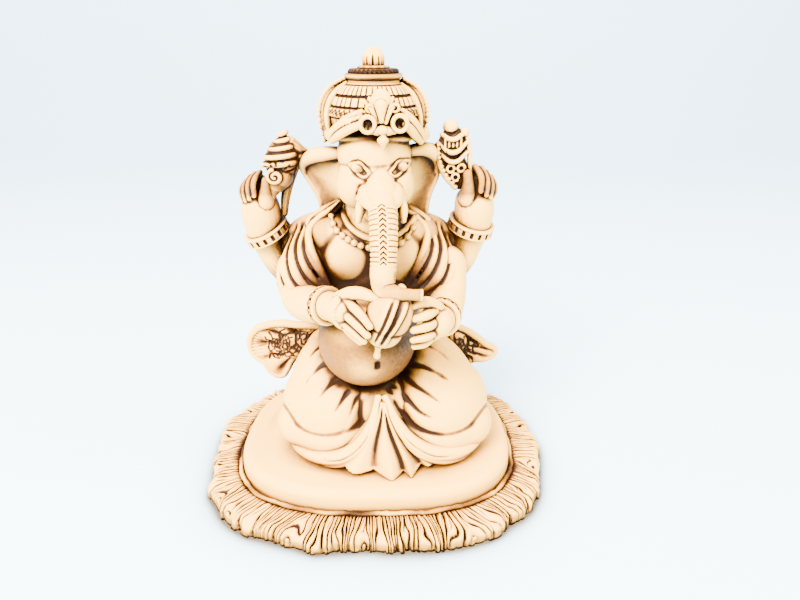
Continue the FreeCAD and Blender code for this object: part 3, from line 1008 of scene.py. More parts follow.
@dataclass
class Torso(Assembly):
    """Belly, chest, neck and the necklace that lies on them."""

    anchor: str = "belly"
    home: Triple = (-1.5, -7.0, 58.0)

    def make(self) -> None:
        """Builds the torso and the necklace."""
        body = self.body()
        band, beads = self.necklace(Carver(body))
        self.deliver(body, "bare_torso", SKIN, ["belly", "chest", "neck"], self.shade)
        self.deliver(band, "necklace_band", ORNAMENT, ["collar_band"])
        self.deliver(beads, "necklace_beads", ORNAMENT, ["bead_string"])

    @staticmethod
    def shade(points: np.ndarray) -> np.ndarray:
        """Painted shade, with some wash, on the belly, between the breasts and at the sides of the chest.
        """
        x, _, z = points.T
        belly = 0.96 * np.clip((70 - z) / 9, 0, 1) * (0.84 + 0.2 * np.clip((x + 6) / 14, 0, 1))
        belly *= (
            1 + 0.4 * np.clip((48 - z) / 6, 0, 1)
            - 0.3 * np.exp(-(((x + 2) / 6) ** 2) - ((z - 53) / 5) ** 2)
        )
        valley = 1.05 * np.exp(-(((x - 0.6) / 4.4) ** 2)) * np.exp(-(((z - 84) / 9.0) ** 2))
        sides = 0.66 * np.clip((np.abs(x - 0.5) - 10.5) / 5, 0, 1) * np.clip((z - 80) / 5, 0, 1)
        sides += 0.8 * np.exp(-(((z - 76.0) / 3.6) ** 2))
        return belly + valley + sides

    @staticmethod
    def body() -> bpy.types.Object:
        """Round belly, soft chest and short neck."""
        clay = Clay("torso", 0.5, 20)
        clay.ball((-2.4, -8.0, 56.6), (17.0, 19.4, 15.9))
        clay.ball((-1.6, -3, 64), (17.6, 15.0, 12))
        clay.ball((-1.2, 2, 82), (23.5, 13.4, 16.0))
        clay.ball((-13.0, -1.0, 91.0), (10.5, 8.6, 8.2), (0, 14, 0))
        clay.ball((11.5, -1.0, 91.0), (10.5, 8.6, 8.2), (0, -14, 0))
        clay.ball((-7.8, -4.6, 86.2), (9.8, 8.8, 10.2))
        clay.ball((8.8, -4.6, 86.2), (9.2, 8.8, 10.2))
        clay.roll([(0.8, 1, 92), (0.8, 0.5, 99), (0.8, 0, 106)], [12.5, 10.5, 10])
        carver = Carver(clay.mould())
        navel = carver.front(1.8, 55.6)
        carver.stroke([(1.8, 57.2), (1.8, 55.6), (1.8, 54.2)], 1.0, -1.6, 1.0)
        carver.dent(navel, 3.4, -0.35)
        return carver.finish()

    @staticmethod
    def necklace(carver: Carver) -> tuple[bpy.types.Object, bpy.types.Object]:
        """Plain band, and the beaded string below it.

        Args:
            carver: the finished torso.

        Returns:
            The band and the beads.
        """
        collar = [
            (-11.5, 102.5), (-10.0, 99.8), (-7.0, 96.4), (-2.0, 94.0), (4.0, 93.4), (9.0, 94.6),
            (13.1, 98.0), (14.8, 102.0),
        ]
        string = [
            (-14.2, 100.0), (-12.2, 96.7), (-8.2, 93.7), (-3.8, 91.5), (2.0, 90.4), (8.0, 91.6),
            (12.6, 95.4), (15.4, 101.0),
        ]
        band = Clay("band", 0.28, 3)
        line = carver.lay(collar, 2.0) + np.array((0, -0.2, 0.1))
        band.roll([tuple(p) for p in line], [1.2] * len(line))
        beads = Clay("beads", 0.2, 1)
        line = carver.lay(string, 2.7) + np.array((0, -0.35, 0))
        beads.roll([tuple(p) for p in line], [0.5] * len(line))
        for spot in line:
            beads.ball(tuple(spot + np.array((0, -0.4, 0))), (1.15, 1.15, 1.15))
        return band.mould(), beads.mould()


@dataclass
class Head(Assembly):
    """Elephant head with cheeks, eyes, trunk, tusks and ears."""

    anchor: str = "head"
    home: Triple = (0.803, -2.3, 114.05)
    eyes: tuple[tuple[float, int], ...] = ((-3.4, -1), (9.0, 1))
    eye_height: float = 116.0

    def make(self) -> None:
        """Builds the head and what grows from it."""
        self.deliver(
            self.skull(), "elephant_head", SKIN, ["head", "right_eye", "left_eye"], self.eye_and_brow_shade
        )
        self.deliver(self.trunk(), "curled_trunk", SKIN, ["trunk"], tint_below(99, 12, 0.38))
        self.deliver(self.tusks(), "short_tusks", SKIN, ["right_tusk", "left_tusk"])
        for side in Side:
            # Each ear gets a little painted shade below its top.
            self.deliver(
                self.ear(side), side.named("fan_ear"), SKIN, [side.named("ear")], tint_below(119, 4, 0.08)
            )

    @staticmethod
    def eye_and_brow_shade(points: np.ndarray) -> np.ndarray:
        """Painted shade with some wash on the eyeballs, and painted shadow under the brow band."""
        x, y, z = points.T
        eyes = np.exp(-(((x + 3.4) / 1.9) ** 2)) + np.exp(-(((x - 9.0) / 1.9) ** 2))
        # Painted shadow under the crown's brow band.
        brow = 0.5 * np.clip((z - 122.5) / 3, 0, 1)
        return (0.75 * eyes * np.exp(-(((z - 115.9) / 1.4) ** 2)) + brow) * (y < -6)

    def skull(self) -> bpy.types.Object:
        """Forehead, cheeks, brow and the flare where the trunk starts."""
        clay = Clay("skull", 0.3, 8)
        clay.ball((0.8, -1.0, 119.0), (11.8, 12.9, 9.6))
        clay.ball((0.9, 0.5, 124.2), (13.2, 12.0, 3.2))
        clay.ball((1.2, -4, 113), (11.6, 10.5, 9.0))
        clay.ball((-4.4, -6.0, 109.8), (6.7, 7.6, 7.4))
        clay.ball((7.1, -5.8, 109.8), (6.3, 7.6, 7.4))
        clay.roll(
            [(2.4, -7.0, 119.0), (2.8, -9.8, 114.8), (3.1, -13.0, 111.2), (3.2, -15.6, 108.8)],
            [2.2, 3.4, 4.7, 5.2],
        )
        clay.ball((3.2, -15.0, 109.0), (7.0, 6.4, 3.6), (24, 0, 0))
        lip = [
            (-3.4, -14.6, 107.4), (-0.6, -18.8, 106.9), (3.4, -21.6, 106.0), (7.2, -18.8, 106.8),
            (9.6, -14.6, 107.3),
        ]
        clay.roll(lip, [1.3, 1.8, 1.9, 1.8, 1.3])
        clay.roll([(0.2, -2, 104), (2.0, -8, 103.5)], [8.0, 6.0])
        body = clay.mould()
        carver = Carver(body)
        for x, _ in self.eyes:
            carver.dent(carver.front(x, self.eye_height), 4.4, -0.9)
        carver.finish()
        carver = Carver(body)
        eyes = Clay("eyes", 0.2, 2)
        for x, side in self.eyes:
            spot = carver.front(x, 115.9)
            eyes.ball((spot.x, spot.y + 0.45, 115.9), (2.3, 1.8, 1.75), (0, side * -18, 0))
            corners = [(x + side * 3.2, 116.9), (x - side * 3.3, 115.0)]
            for lift, thick in ((1.4, 0.5), (-1.25, 0.4)):
                middle = (x - side * 0.1, 115.9 + lift * 1.35)
                inward = (x - side * 1.9, 115.0 + lift * 0.95)
                lid = carver.lay([corners[0], middle, inward, corners[1]], 0.8) + np.array((0, -0.12, 0))
                eyes.roll(
                    [tuple(p) for p in lid], [thick * 0.6] + [thick] * (len(lid) - 2) + [thick * 0.6]
                )
        balls = eyes.mould()
        pick(body)
        balls.select_set(True)
        bpy.ops.object.join()
        apply_modifier(body, "REMESH", mode="VOXEL", voxel_size=0.25)
        carver = Carver(body)
        for x, side in self.eyes:
            under = [(x + side * 2.6, 114.6), (x - side * 0.4, 113.0), (x - side * 2.6, 112.8)]
            carver.stroke(under, 0.7, -0.14, 1.2)
            carver.stroke(
                [(x + side * 2.9, 118.0), (x, 118.7), (x - side * 2.6, 116.9)], 0.45, -0.16, 1.2
            )
        return carver.finish()

    @staticmethod
    def trunk() -> bpy.types.Object:
        """Tapered trunk with ring creases and a seam of notches, that bends to the idol's left."""
        path = [
            (3.3, -16.0, 109.4, 3.4),
            (3.6, -18.8, 107.0, 4.2),
            (4.0, -22.0, 103.4, 4.35),
            (4.2, -25.6, 98.0, 4.2),
            (4.2, -28.8, 92.3, 3.9),
            (4.0, -31.0, 87.8, 3.75),
            (4.6, -32.4, 84.8, 3.2),
            (8.4, -33.9, 83.9, 2.1),
            (12.0, -34.3, 83.8, 1.65),
            (15.6, -34.3, 83.6, 1.75),
        ]

        def thickness(share: np.ndarray, angle: np.ndarray) -> np.ndarray:
            ringed = np.clip((share - 0.16) / 0.03, 0, 1) * np.clip((0.49 - share) / 0.03, 0, 1)
            turn = np.where(angle > math.pi, angle - 2 * math.pi, angle)
            phase = (share - 0.16) * 38 + 0.16 * np.abs(turn) ** 1.5
            wave = phase - np.floor(phase)
            crease = np.exp(-(((wave - 0.5) / 0.13) ** 2)) * np.clip(np.abs(turn) / 0.45, 0, 1)
            vee = (share - 0.16) * 38 - 2.2 * np.abs(turn)
            notch = np.exp(-((((vee - np.floor(vee)) - 0.5) / 0.20) ** 2)) * (np.abs(turn) < 0.24)
            side_pits = np.clip((share - 0.50) / 0.02, 0, 1) * np.clip((0.60 - share) / 0.02, 0, 1)
            rough = (
                np.exp(-(((share * 90) % 1.0 - 0.5) / 0.2) ** 2) * np.exp(-(((turn + 1.25) / 0.3) ** 2))
            )
            mouth = np.exp(-(((share - 0.985) / 0.012) ** 2))
            return 1 - ringed * (0.075 * crease + 0.16 * notch) - 0.05 * side_pits * rough + 0.05 * mouth

        return wrapped("trunk", 132, 340, tube_shape(path, thickness))

    @staticmethod
    def tusks() -> bpy.types.Object:
        """Two short tusks that point down beside the trunk."""
        clay = Clay("tusks", 0.22, 3)
        for way in (
            [(-2.0, -14.6, 107.2), (-3.0, -16.8, 104.2), (-3.6, -18.0, 101.2)],
            [(8.8, -14.4, 107.0), (9.8, -16.6, 104.0), (10.0, -17.8, 101.4)],
        ):
            clay.roll(way, [1.9, 1.7, 0.95])
        return clay.mould()

    @staticmethod
    def ear(side: Side) -> bpy.types.Object:
        """Fan-shaped ear with a rolled rim that is thickest on top.

        Args:
            side: which ear.

        Returns:
            The ear.
        """
        clay = Clay("ear", 0.32, 5)
        if side is Side.RIGHT:
            rim = [
                (-11.4, 1.5, 119.6), (-16.3, 2.4, 119.2), (-20.9, 3.2, 118.0), (-23.4, 3.8, 115.8),
                (-23.6, 4.0, 113.2),
            ]
            rim += [
                (-22.2, 4.2, 110.2), (-20.2, 4.2, 106.8), (-18.4, 4.0, 103.4), (-17.4, 3.4, 99.8),
                (-17.6, 2.6, 95.6),
            ]
            root = [
                (-9.5, 0.5, 118.9), (-9.8, -0.5, 113.0), (-9.8, -1.0, 107.0), (-9.2, -1.6, 102.0),
                (-9.0, -1.6, 97.0),
            ]
            lobe = [
                (-10.6, -0.8, 118.8), (-15.4, 0.2, 118.2), (-20.0, 1.6, 117.0), (-22.8, 2.9, 114.6),
                (-23.0, 3.8, 111.8),
            ]
        else:
            rim = [
                (13.4, 1.5, 120.4), (17.0, 2.4, 120.6), (20.4, 3.2, 119.6), (21.9, 3.8, 116.6),
                (21.8, 4.0, 113.2),
            ]
            rim += [
                (21.2, 4.2, 109.8), (19.9, 4.2, 106.6), (18.7, 4.0, 103.2), (18.0, 3.4, 99.8),
                (17.8, 2.6, 96.0),
            ]
            root = [
                (11.8, 0.5, 119.5), (12.0, -0.5, 113.0), (12.0, -1.0, 107.0), (11.0, -1.6, 102.0),
                (10.8, -1.6, 97.0),
            ]
            lobe = [
                (12.8, -0.8, 119.6), (16.6, 0.2, 119.8), (19.8, 1.6, 118.2), (21.2, 2.9, 115.4),
                (21.2, 3.8, 112.2),
            ]

        def place(u: np.ndarray, v: np.ndarray) -> np.ndarray:
            table = np.linspace(0, 1, 60)
            outer, inner = spline(rim, 60), spline(root, 60)
            face = 1 - np.abs(2 * u - 1)
            front = np.where(u < 0.5, -1.0, 1.0)
            far = np.stack([np.interp(v, table, column) for column in outer.T], 1)
            near = np.stack([np.interp(v, table, column) for column in inner.T], 1)
            point = near + (far - near) * face[:, None]
            arc, rise = np.sin(math.pi * face), np.sin(math.pi * v)
            hollow = 2.3 * arc * (0.35 + 0.65 * rise)
            edge = np.sqrt(np.clip(arc * 3, 0, 1)) * np.sqrt(np.clip(rise * 6, 0, 1))
            point[:, 1] += hollow + front * 0.75 * edge
            return point

        clay.lumps.append(wrapped("leaf", 80, 60, place))
        clay.roll(rim, [1.0, 1.1, 1.1, 1.0, 0.85, 0.8, 0.8, 0.85, 0.9, 1.0])
        clay.roll(lobe, [2.0, 2.3, 2.2, 1.6, 0.9])
        return clay.mould()


@dataclass
class Shawl(Assembly):
    """Folded cloth on both shoulders, its flared ends at the hips and its fall down the back."""

    anchor: str = "back_drape"
    home: Triple = (-1.0, 11.388, 67.444)
    middle: float = -1.5
    scribbles: int = 60
    back_folds: int = 9

    def make(self) -> None:
        """Builds the shoulders, the ends and the back."""
        for side in Side:
            self.deliver(
                self.shoulder(side), side.named("shoulder_folds"), CLOTH, [side.named("shoulder_drape")],
                self.sleeve_shade_and_wash,
            )
            self.deliver(
                self.wing(side), side.named("sash_wing"), CLOTH, [side.named("sash_end")], self.wing_wash
            )
        self.deliver(self.back(), "back_folds", CLOTH, ["back_drape"])

    @staticmethod
    def sleeve_shade_and_wash(points: np.ndarray) -> np.ndarray:
        """Painted shade with some wash over the shoulder cloth, deepest down where the sleeves gather."""
        x, _, z = points.T
        inner = np.exp(-(((np.abs(x + 1.5) - 13.0) / 8.0) ** 2))
        return 0.42 + 0.75 * inner * np.exp(-(((z - 79.0) / 8.0) ** 2))

    @staticmethod
    def wing_wash(points: np.ndarray) -> np.ndarray:
        """Wash in the hollow middle of the sash ends."""
        x, _, z = points.T
        out = (np.abs(x + 1.0) - 34.0) / 9.0
        up = (z - 43.5) / 6.0
        return 0.62 * np.exp(-(out**2) - up**2)

    def shoulder(self, side: Side) -> bpy.types.Object:
        """Cloth that falls from the shoulder and gathers at the inside of the elbow.

        Args:
            side: which shoulder.

        Returns:
            The folded cloth.
        """
        s = side.value
        clay = Clay("shoulder", 0.42, 4)

        def spot(x: float, y: float, z: float) -> Point:
            return (self.middle + s * x, y, z)

        clay.ball(spot(20.0, -0.5, 82.5), (8.8, 10.4, 10.8), (0, -s * 10, 0))
        clay.ball(spot(22.5, -3.0, 76.5), (7.8, 9.2, 6.6))
        gather = spot(11.6, -14.0, 75.4)
        heads = [
            (17.4, 0.0, 99.6), (20.4, 1.5, 97.0), (23.4, 3.0, 94.4), (26.0, 3.5, 91.2), (28.2, 4.0, 86.6),
            (29.4, 4.0, 81.0),
        ]
        bellies = [
            (19.4, -9.4, 89.6), (21.4, -10.0, 86.8), (24.0, -10.2, 84.0), (26.8, -9.0, 81.0),
            (29.0, -6.8, 78.0), (30.0, -4.6, 75.4),
        ]
        elbows = [
            (15.0, -13.0, 81.4), (16.8, -13.4, 79.4), (19.2, -13.4, 77.4), (21.8, -12.6, 75.4),
            (24.2, -11.0, 73.6), (26.4, -8.6, 72.2),
        ]
        widths = [1.1, 1.5, 1.9, 2.1, 2.0, 1.8]
        for top, belly, elbow, width in zip(heads, bellies, elbows, widths):
            points = [spot(*top), spot(*belly), spot(*elbow), gather]
            clay.roll(points, [width * 0.4, width, width * 0.8, width * 0.45])
        clay.roll(
            [spot(12.0, 2, 97.0), spot(19, 5, 94.0), spot(25, 6, 89.5), spot(29, 6, 81)],
            [2.5, 3.8, 4.4, 4.0],
        )
        edge = [
            (9.0, -3.2, 104.0), (12.6, -4.0, 101.0), (16.4, -4.4, 98.2), (19.0, -6.0, 95.0),
            (18.8, -9.2, 91.4),
        ]
        edge += [(16.8, -11.4, 86.4), (14.2, -12.8, 80.8), (11.6, -14.0, 75.4)]
        clay.roll([spot(*p) for p in edge], [0.4, 0.7, 1.0, 1.2, 1.3, 1.3, 1.2, 0.8])
        clay.roll(
            [spot(9.6, -1.0, 102.4), spot(13.4, -1.6, 99.6), spot(18.0, -1.6, 96.0)], [1.6, 2.6, 3.0]
        )
        clay.roll(
            [spot(26.0, -8.5, 72.4), spot(29.0, -3.0, 73.5), spot(30.0, 3.0, 75.0)], [1.6, 2.2, 2.2]
        )
        return clay.mould()

    def wing(self, side: Side) -> bpy.types.Object:
        """Flared end of the sash at one hip, with a lively lower edge and scribbled engraving.

        Args:
            side: which hip.

        Returns:
            The sash end.
        """
        s = side.value
        clay = Clay("wing", 0.28, 7)
        if side is Side.RIGHT:
            edge = [
                (-17, 9.0, 50.5), (-23, 11.0, 51.6), (-30, 12.6, 51.4), (-37, 13.6, 51.6),
                (-43, 14.4, 50.4), (-48, 15.0, 47.4),
            ]
            edge += [
                (-50.2, 15.0, 42.2), (-48.6, 14.6, 36.8), (-44.6, 14.0, 33.6), (-42.2, 13.6, 29.8),
                (-38.2, 13.2, 28.6), (-35.0, 12.6, 32.6),
            ]
            hub, tilt = (-30.0, 12.5, 42.0), 12
        else:
            edge = [
                (16, 9.0, 51.0), (21, 11.0, 51.8), (27, 12.6, 51.0), (33, 13.6, 49.2), (38.4, 14.4, 45.6),
                (43.2, 15.0, 41.6),
            ]
            edge += [
                (46.6, 15.0, 39.4), (45.6, 14.6, 37.0), (42.2, 14.0, 35.6), (38.6, 13.6, 35.6),
                (34.8, 13.2, 34.8), (31.0, 12.6, 36.6),
            ]
            hub, tilt = (27.0, 12.5, 43.5), -14
        centre = np.array(hub)
        for k, spot in enumerate(spline(edge, 44)):
            middle = 0.45 * centre + 0.55 * spot + np.array((0, 1.6 + 0.7 * math.sin(0.9 * k), 0))
            clay.roll([hub, tuple(middle), tuple(spot)], [2.4, 1.5, 1.1])
        clay.ball(hub, (8.0, 2.6, 5.6), (0, tilt, 0))
        clay.roll(edge, [1.3, 1.4, 1.5, 1.5, 1.5, 1.4, 1.3, 1.2, 1.2, 1.2, 1.2, 1.2])
        carver = Carver(clay.mould())
        dice = np.random.default_rng(7 + s)
        for _ in range(self.scribbles):
            x = dice.uniform(22, 41)
            z = 48.5 - 0.30 * (x - 22) + dice.uniform(-8.0, 0.5)
            angle = dice.uniform(0, math.pi)
            step = dice.uniform(0.9, 2.0)
            path = []
            for k in range(4):
                path.append((-1.0 + s * x, z))
                x += step * math.cos(angle)
                z += step * math.sin(angle)
                angle += dice.uniform(-1.3, 1.3)
            if all(carver.hit((x, -200, z), (0, 1, 0)) for x, z in path):
                carver.stroke(path, 0.42, -0.38, 1.0, Fade.NONE)
        return carver.finish()

    def back(self) -> bpy.types.Object:
        """Cloth down the back in long soft folds."""
        clay = Clay("back", 0.62, 6)
        clay.ball((-1.0, 7, 80), (21.5, 11.5, 17))
        clay.ball((-1.0, 8, 60), (20, 13.0, 22))
        for i in range(self.back_folds):
            x = -18 + 4.4 * i
            depth = math.sqrt(max(0.0, 1 - (x / 24) ** 2))
            upper = [(x * 0.7 - 1, 9 + 6 * depth, 96), (x * 0.95 - 1, 9 + 9.5 * depth, 80)]
            lower = [(x - 1, 8 + 12.5 * depth, 60), (x * 1.1 - 1, 9 + 14 * depth, 38)]
            clay.roll(upper + lower, [1.8, 2.6, 2.8, 3.0])
        return clay.mould()


@dataclass
class FrontArms(Assembly):
    """Lower pair of arms that hold a conch before the belly."""

    anchor: str = "held_conch"
    home: Triple = (6.802, -33.5, 74.35)

    def make(self) -> None:
        """Builds the forearms, bangles, hands and the conch."""
        for side in Side:
            self.deliver(self.arm(side), side.named("smooth_forearm"), SKIN, [side.named("forearm")])
            self.deliver(self.bangle(side), side.named("dotted_bangle"), ORNAMENT, [side.named("bangle")])
            self.deliver(
                self.hand(side), side.named("holding_hand"), SKIN, [side.named("hand")], self.finger_wash
            )
        self.deliver(self.conch(), "belly_conch", ORNAMENT, ["held_conch"], even_tint(0.34))

    @staticmethod
    def finger_wash(points: np.ndarray) -> np.ndarray:
        """Wash between the fingers."""
        return 0.40 * np.clip((-30.0 - points[:, 1]) / 3, 0, 1)

    @staticmethod
    def arm(side: Side) -> bpy.types.Object:
        """Smooth forearm and the elbow that comes from under the shawl."""
        clay = Clay("forearm", 0.35, 6)
        if side is Side.RIGHT:
            clay.roll(
                [(-26, -2, 80), (-24.6, -7.5, 72.6), (-19.5, -16.5, 72.8), (-13.6, -23.0, 75.2)],
                [7.0, 6.9, 6.0, 4.7],
            )
        else:
            clay.roll(
                [(24.5, -2, 81), (24.4, -8.5, 73.4), (23.6, -16.0, 71.2), (21.8, -24.0, 71.2)],
                [7.2, 6.9, 6.0, 4.8],
            )
        return clay.mould()

    @staticmethod
    def bangle(side: Side) -> bpy.types.Object:
        """Two thin rims with a row of dots between them."""
        if side is Side.RIGHT:
            centre, axis, half = (-14.4, -22.2, 74.9), (0.60, -0.75, 0.24), 1.7
        else:
            centre, axis, half = (22.2, -22.6, 71.3), (-0.22, -0.96, 0.08), 2.1

        def relief(angle: np.ndarray, across: np.ndarray) -> np.ndarray:
            rim = np.exp(-(((np.abs(across) - 0.80) / 0.18) ** 2)) * 0.5
            hole = np.clip(np.cos(angle * 14) - 0.2, 0, 1) * np.exp(-((across / 0.34) ** 4))
            return rim + 0.42 - hole * 0.9

        return ring_band("bangle", centre, axis, (5.0, half, 0.6), relief)

    @staticmethod
    def hand(side: Side) -> bpy.types.Object:
        """Hand with four separate fingers and a thumb."""
        clay = Clay("hand", 0.24, 3)
        if side is Side.RIGHT:
            clay.roll([(-12.6, -23.6, 75.4), (-9.6, -27.2, 76.0), (-7.4, -29.0, 76.2)], [4.5, 4.7, 4.4])
            clay.ball((-8.8, -28.6, 75.4), (3.8, 3.4, 5.9), (0, -14, 30))
            starts = [(-7.2, -29.6, 79.9), (-8.6, -30.2, 77.0), (-8.8, -30.2, 74.0), (-8.2, -29.2, 71.4)]
            bends = [(-3.0, -34.2, 77.9), (-3.9, -35.0, 74.9), (-4.8, -34.4, 72.0), (-5.4, -32.4, 69.8)]
            tips = [(0.2, -36.8, 74.9), (-0.6, -37.0, 72.0), (-1.8, -36.2, 69.7), (-3.0, -34.0, 68.1)]
            widths = [1.55, 1.55, 1.5, 1.3]
            thumb = [(-9.0, -27.0, 79.6), (-4.6, -30.0, 82.4), (0.2, -32.4, 82.6), (4.2, -33.8, 81.6)]
        else:
            clay.roll([(21.8, -24.4, 71.3), (20.6, -27.6, 71.6)], [4.7, 4.7])
            clay.ball((19.6, -28.2, 71.6), (3.4, 3.0, 5.8))
            starts = [(19.2, -29.4, 76.3), (19.8, -30.0, 73.0), (19.6, -30.0, 69.8), (18.6, -29.0, 66.9)]
            bends = [(16.6, -33.2, 76.6), (16.8, -33.8, 73.2), (16.8, -33.6, 69.8), (16.2, -32.2, 66.6)]
            tips = [(13.4, -34.4, 76.2), (13.0, -35.0, 72.8), (13.0, -34.8, 69.4), (13.4, -33.4, 66.4)]
            widths = [1.55, 1.55, 1.5, 1.35]
            thumb = [(21.2, -25.6, 74.6), (18.8, -28.4, 78.0), (15.4, -30.8, 79.6), (12.2, -32.4, 78.8)]
        for start, bend, tip, width in zip(starts, bends, tips, widths):
            clay.roll([start, bend, tip], [width, width, width * 0.78])
        clay.roll(thumb, [2.4, 2.2, 1.8, 1.25])
        return clay.mould()

    @staticmethod
    def conch() -> bpy.types.Object:
        """Bulb with a pair of slanting ribs and a small knob at its tip."""
        clay = Clay("conch", 0.25, 5)
        clay.ball((6.0, -32.4, 76.8), (7.2, 6.4, 7.4), (0, 18, 0))
        clay.ball((4.2, -32.0, 71.4), (5.8, 5.2, 5.8), (0, 18, 0))
        clay.roll([(7.8, -31, 82), (9.2, -31.5, 84.2)], [3.4, 1.8])
        clay.roll([(3.2, -31.4, 68.4), (2.3, -32.0, 65.2), (2.0, -32.2, 63.6)], [2.9, 1.1, 0.95])
        clay.ball((1.9, -32.2, 62.6), (1.15, 1.1, 1.3))
        carver = Carver(clay.mould())
        for shift in (0.0, 2.7):
            carver.stroke(
                [(8.2 + shift, 82.6), (5.6 + shift, 76.0), (2.2 + shift * 0.7, 68.2)], 0.9, 0.6, 1.0
            )
        carver.stroke([(9.5, 82.8), (6.9, 76.0), (3.2, 68.2)], 1.1, -0.9, 1.0)
        carver.stroke([(6.9, 82.4), (4.3, 76.0), (1.4, 69.0)], 0.7, -0.3, 1.0)
        return carver.finish()


def ring_band(name: str, centre: Point, axis: Point, sizes: Point, relief: Shape) -> bpy.types.Object:
    """Closed band round an axis, with a carved outside.

    Args:
        name: the new object's name.
        centre: its middle.
        axis: the direction of its axis.
        sizes: its middle radius, half width and half thickness.
        relief: extra height on the outside for the angle and the place across, from -1 to 1.

    Returns:
        The band, in millimetres.
    """
    middle, half, thick = sizes
    way = np.array(axis) / np.linalg.norm(axis)
    front = np.array((0.0, -1.0, 0.0)) + way * way[1]
    front /= np.linalg.norm(front)
    side = np.cross(way, front)

    def place(u: np.ndarray, v: np.ndarray) -> np.ndarray:
        angle, turn = 2 * math.pi * u, 2 * math.pi * v
        across = np.sign(np.cos(turn)) * np.abs(np.cos(turn)) ** 0.6
        out = np.sign(np.sin(turn)) * np.abs(np.sin(turn)) ** 0.6
        radius = middle + thick * out + np.clip(out, 0, 1) * relief(angle, across)
        ring = front * np.cos(angle)[:, None] + side * np.sin(angle)[:, None]
        return np.array(centre) + ring * radius[:, None] + way * (across * half)[:, None]

    return wrapped(name, 290, 40, place)


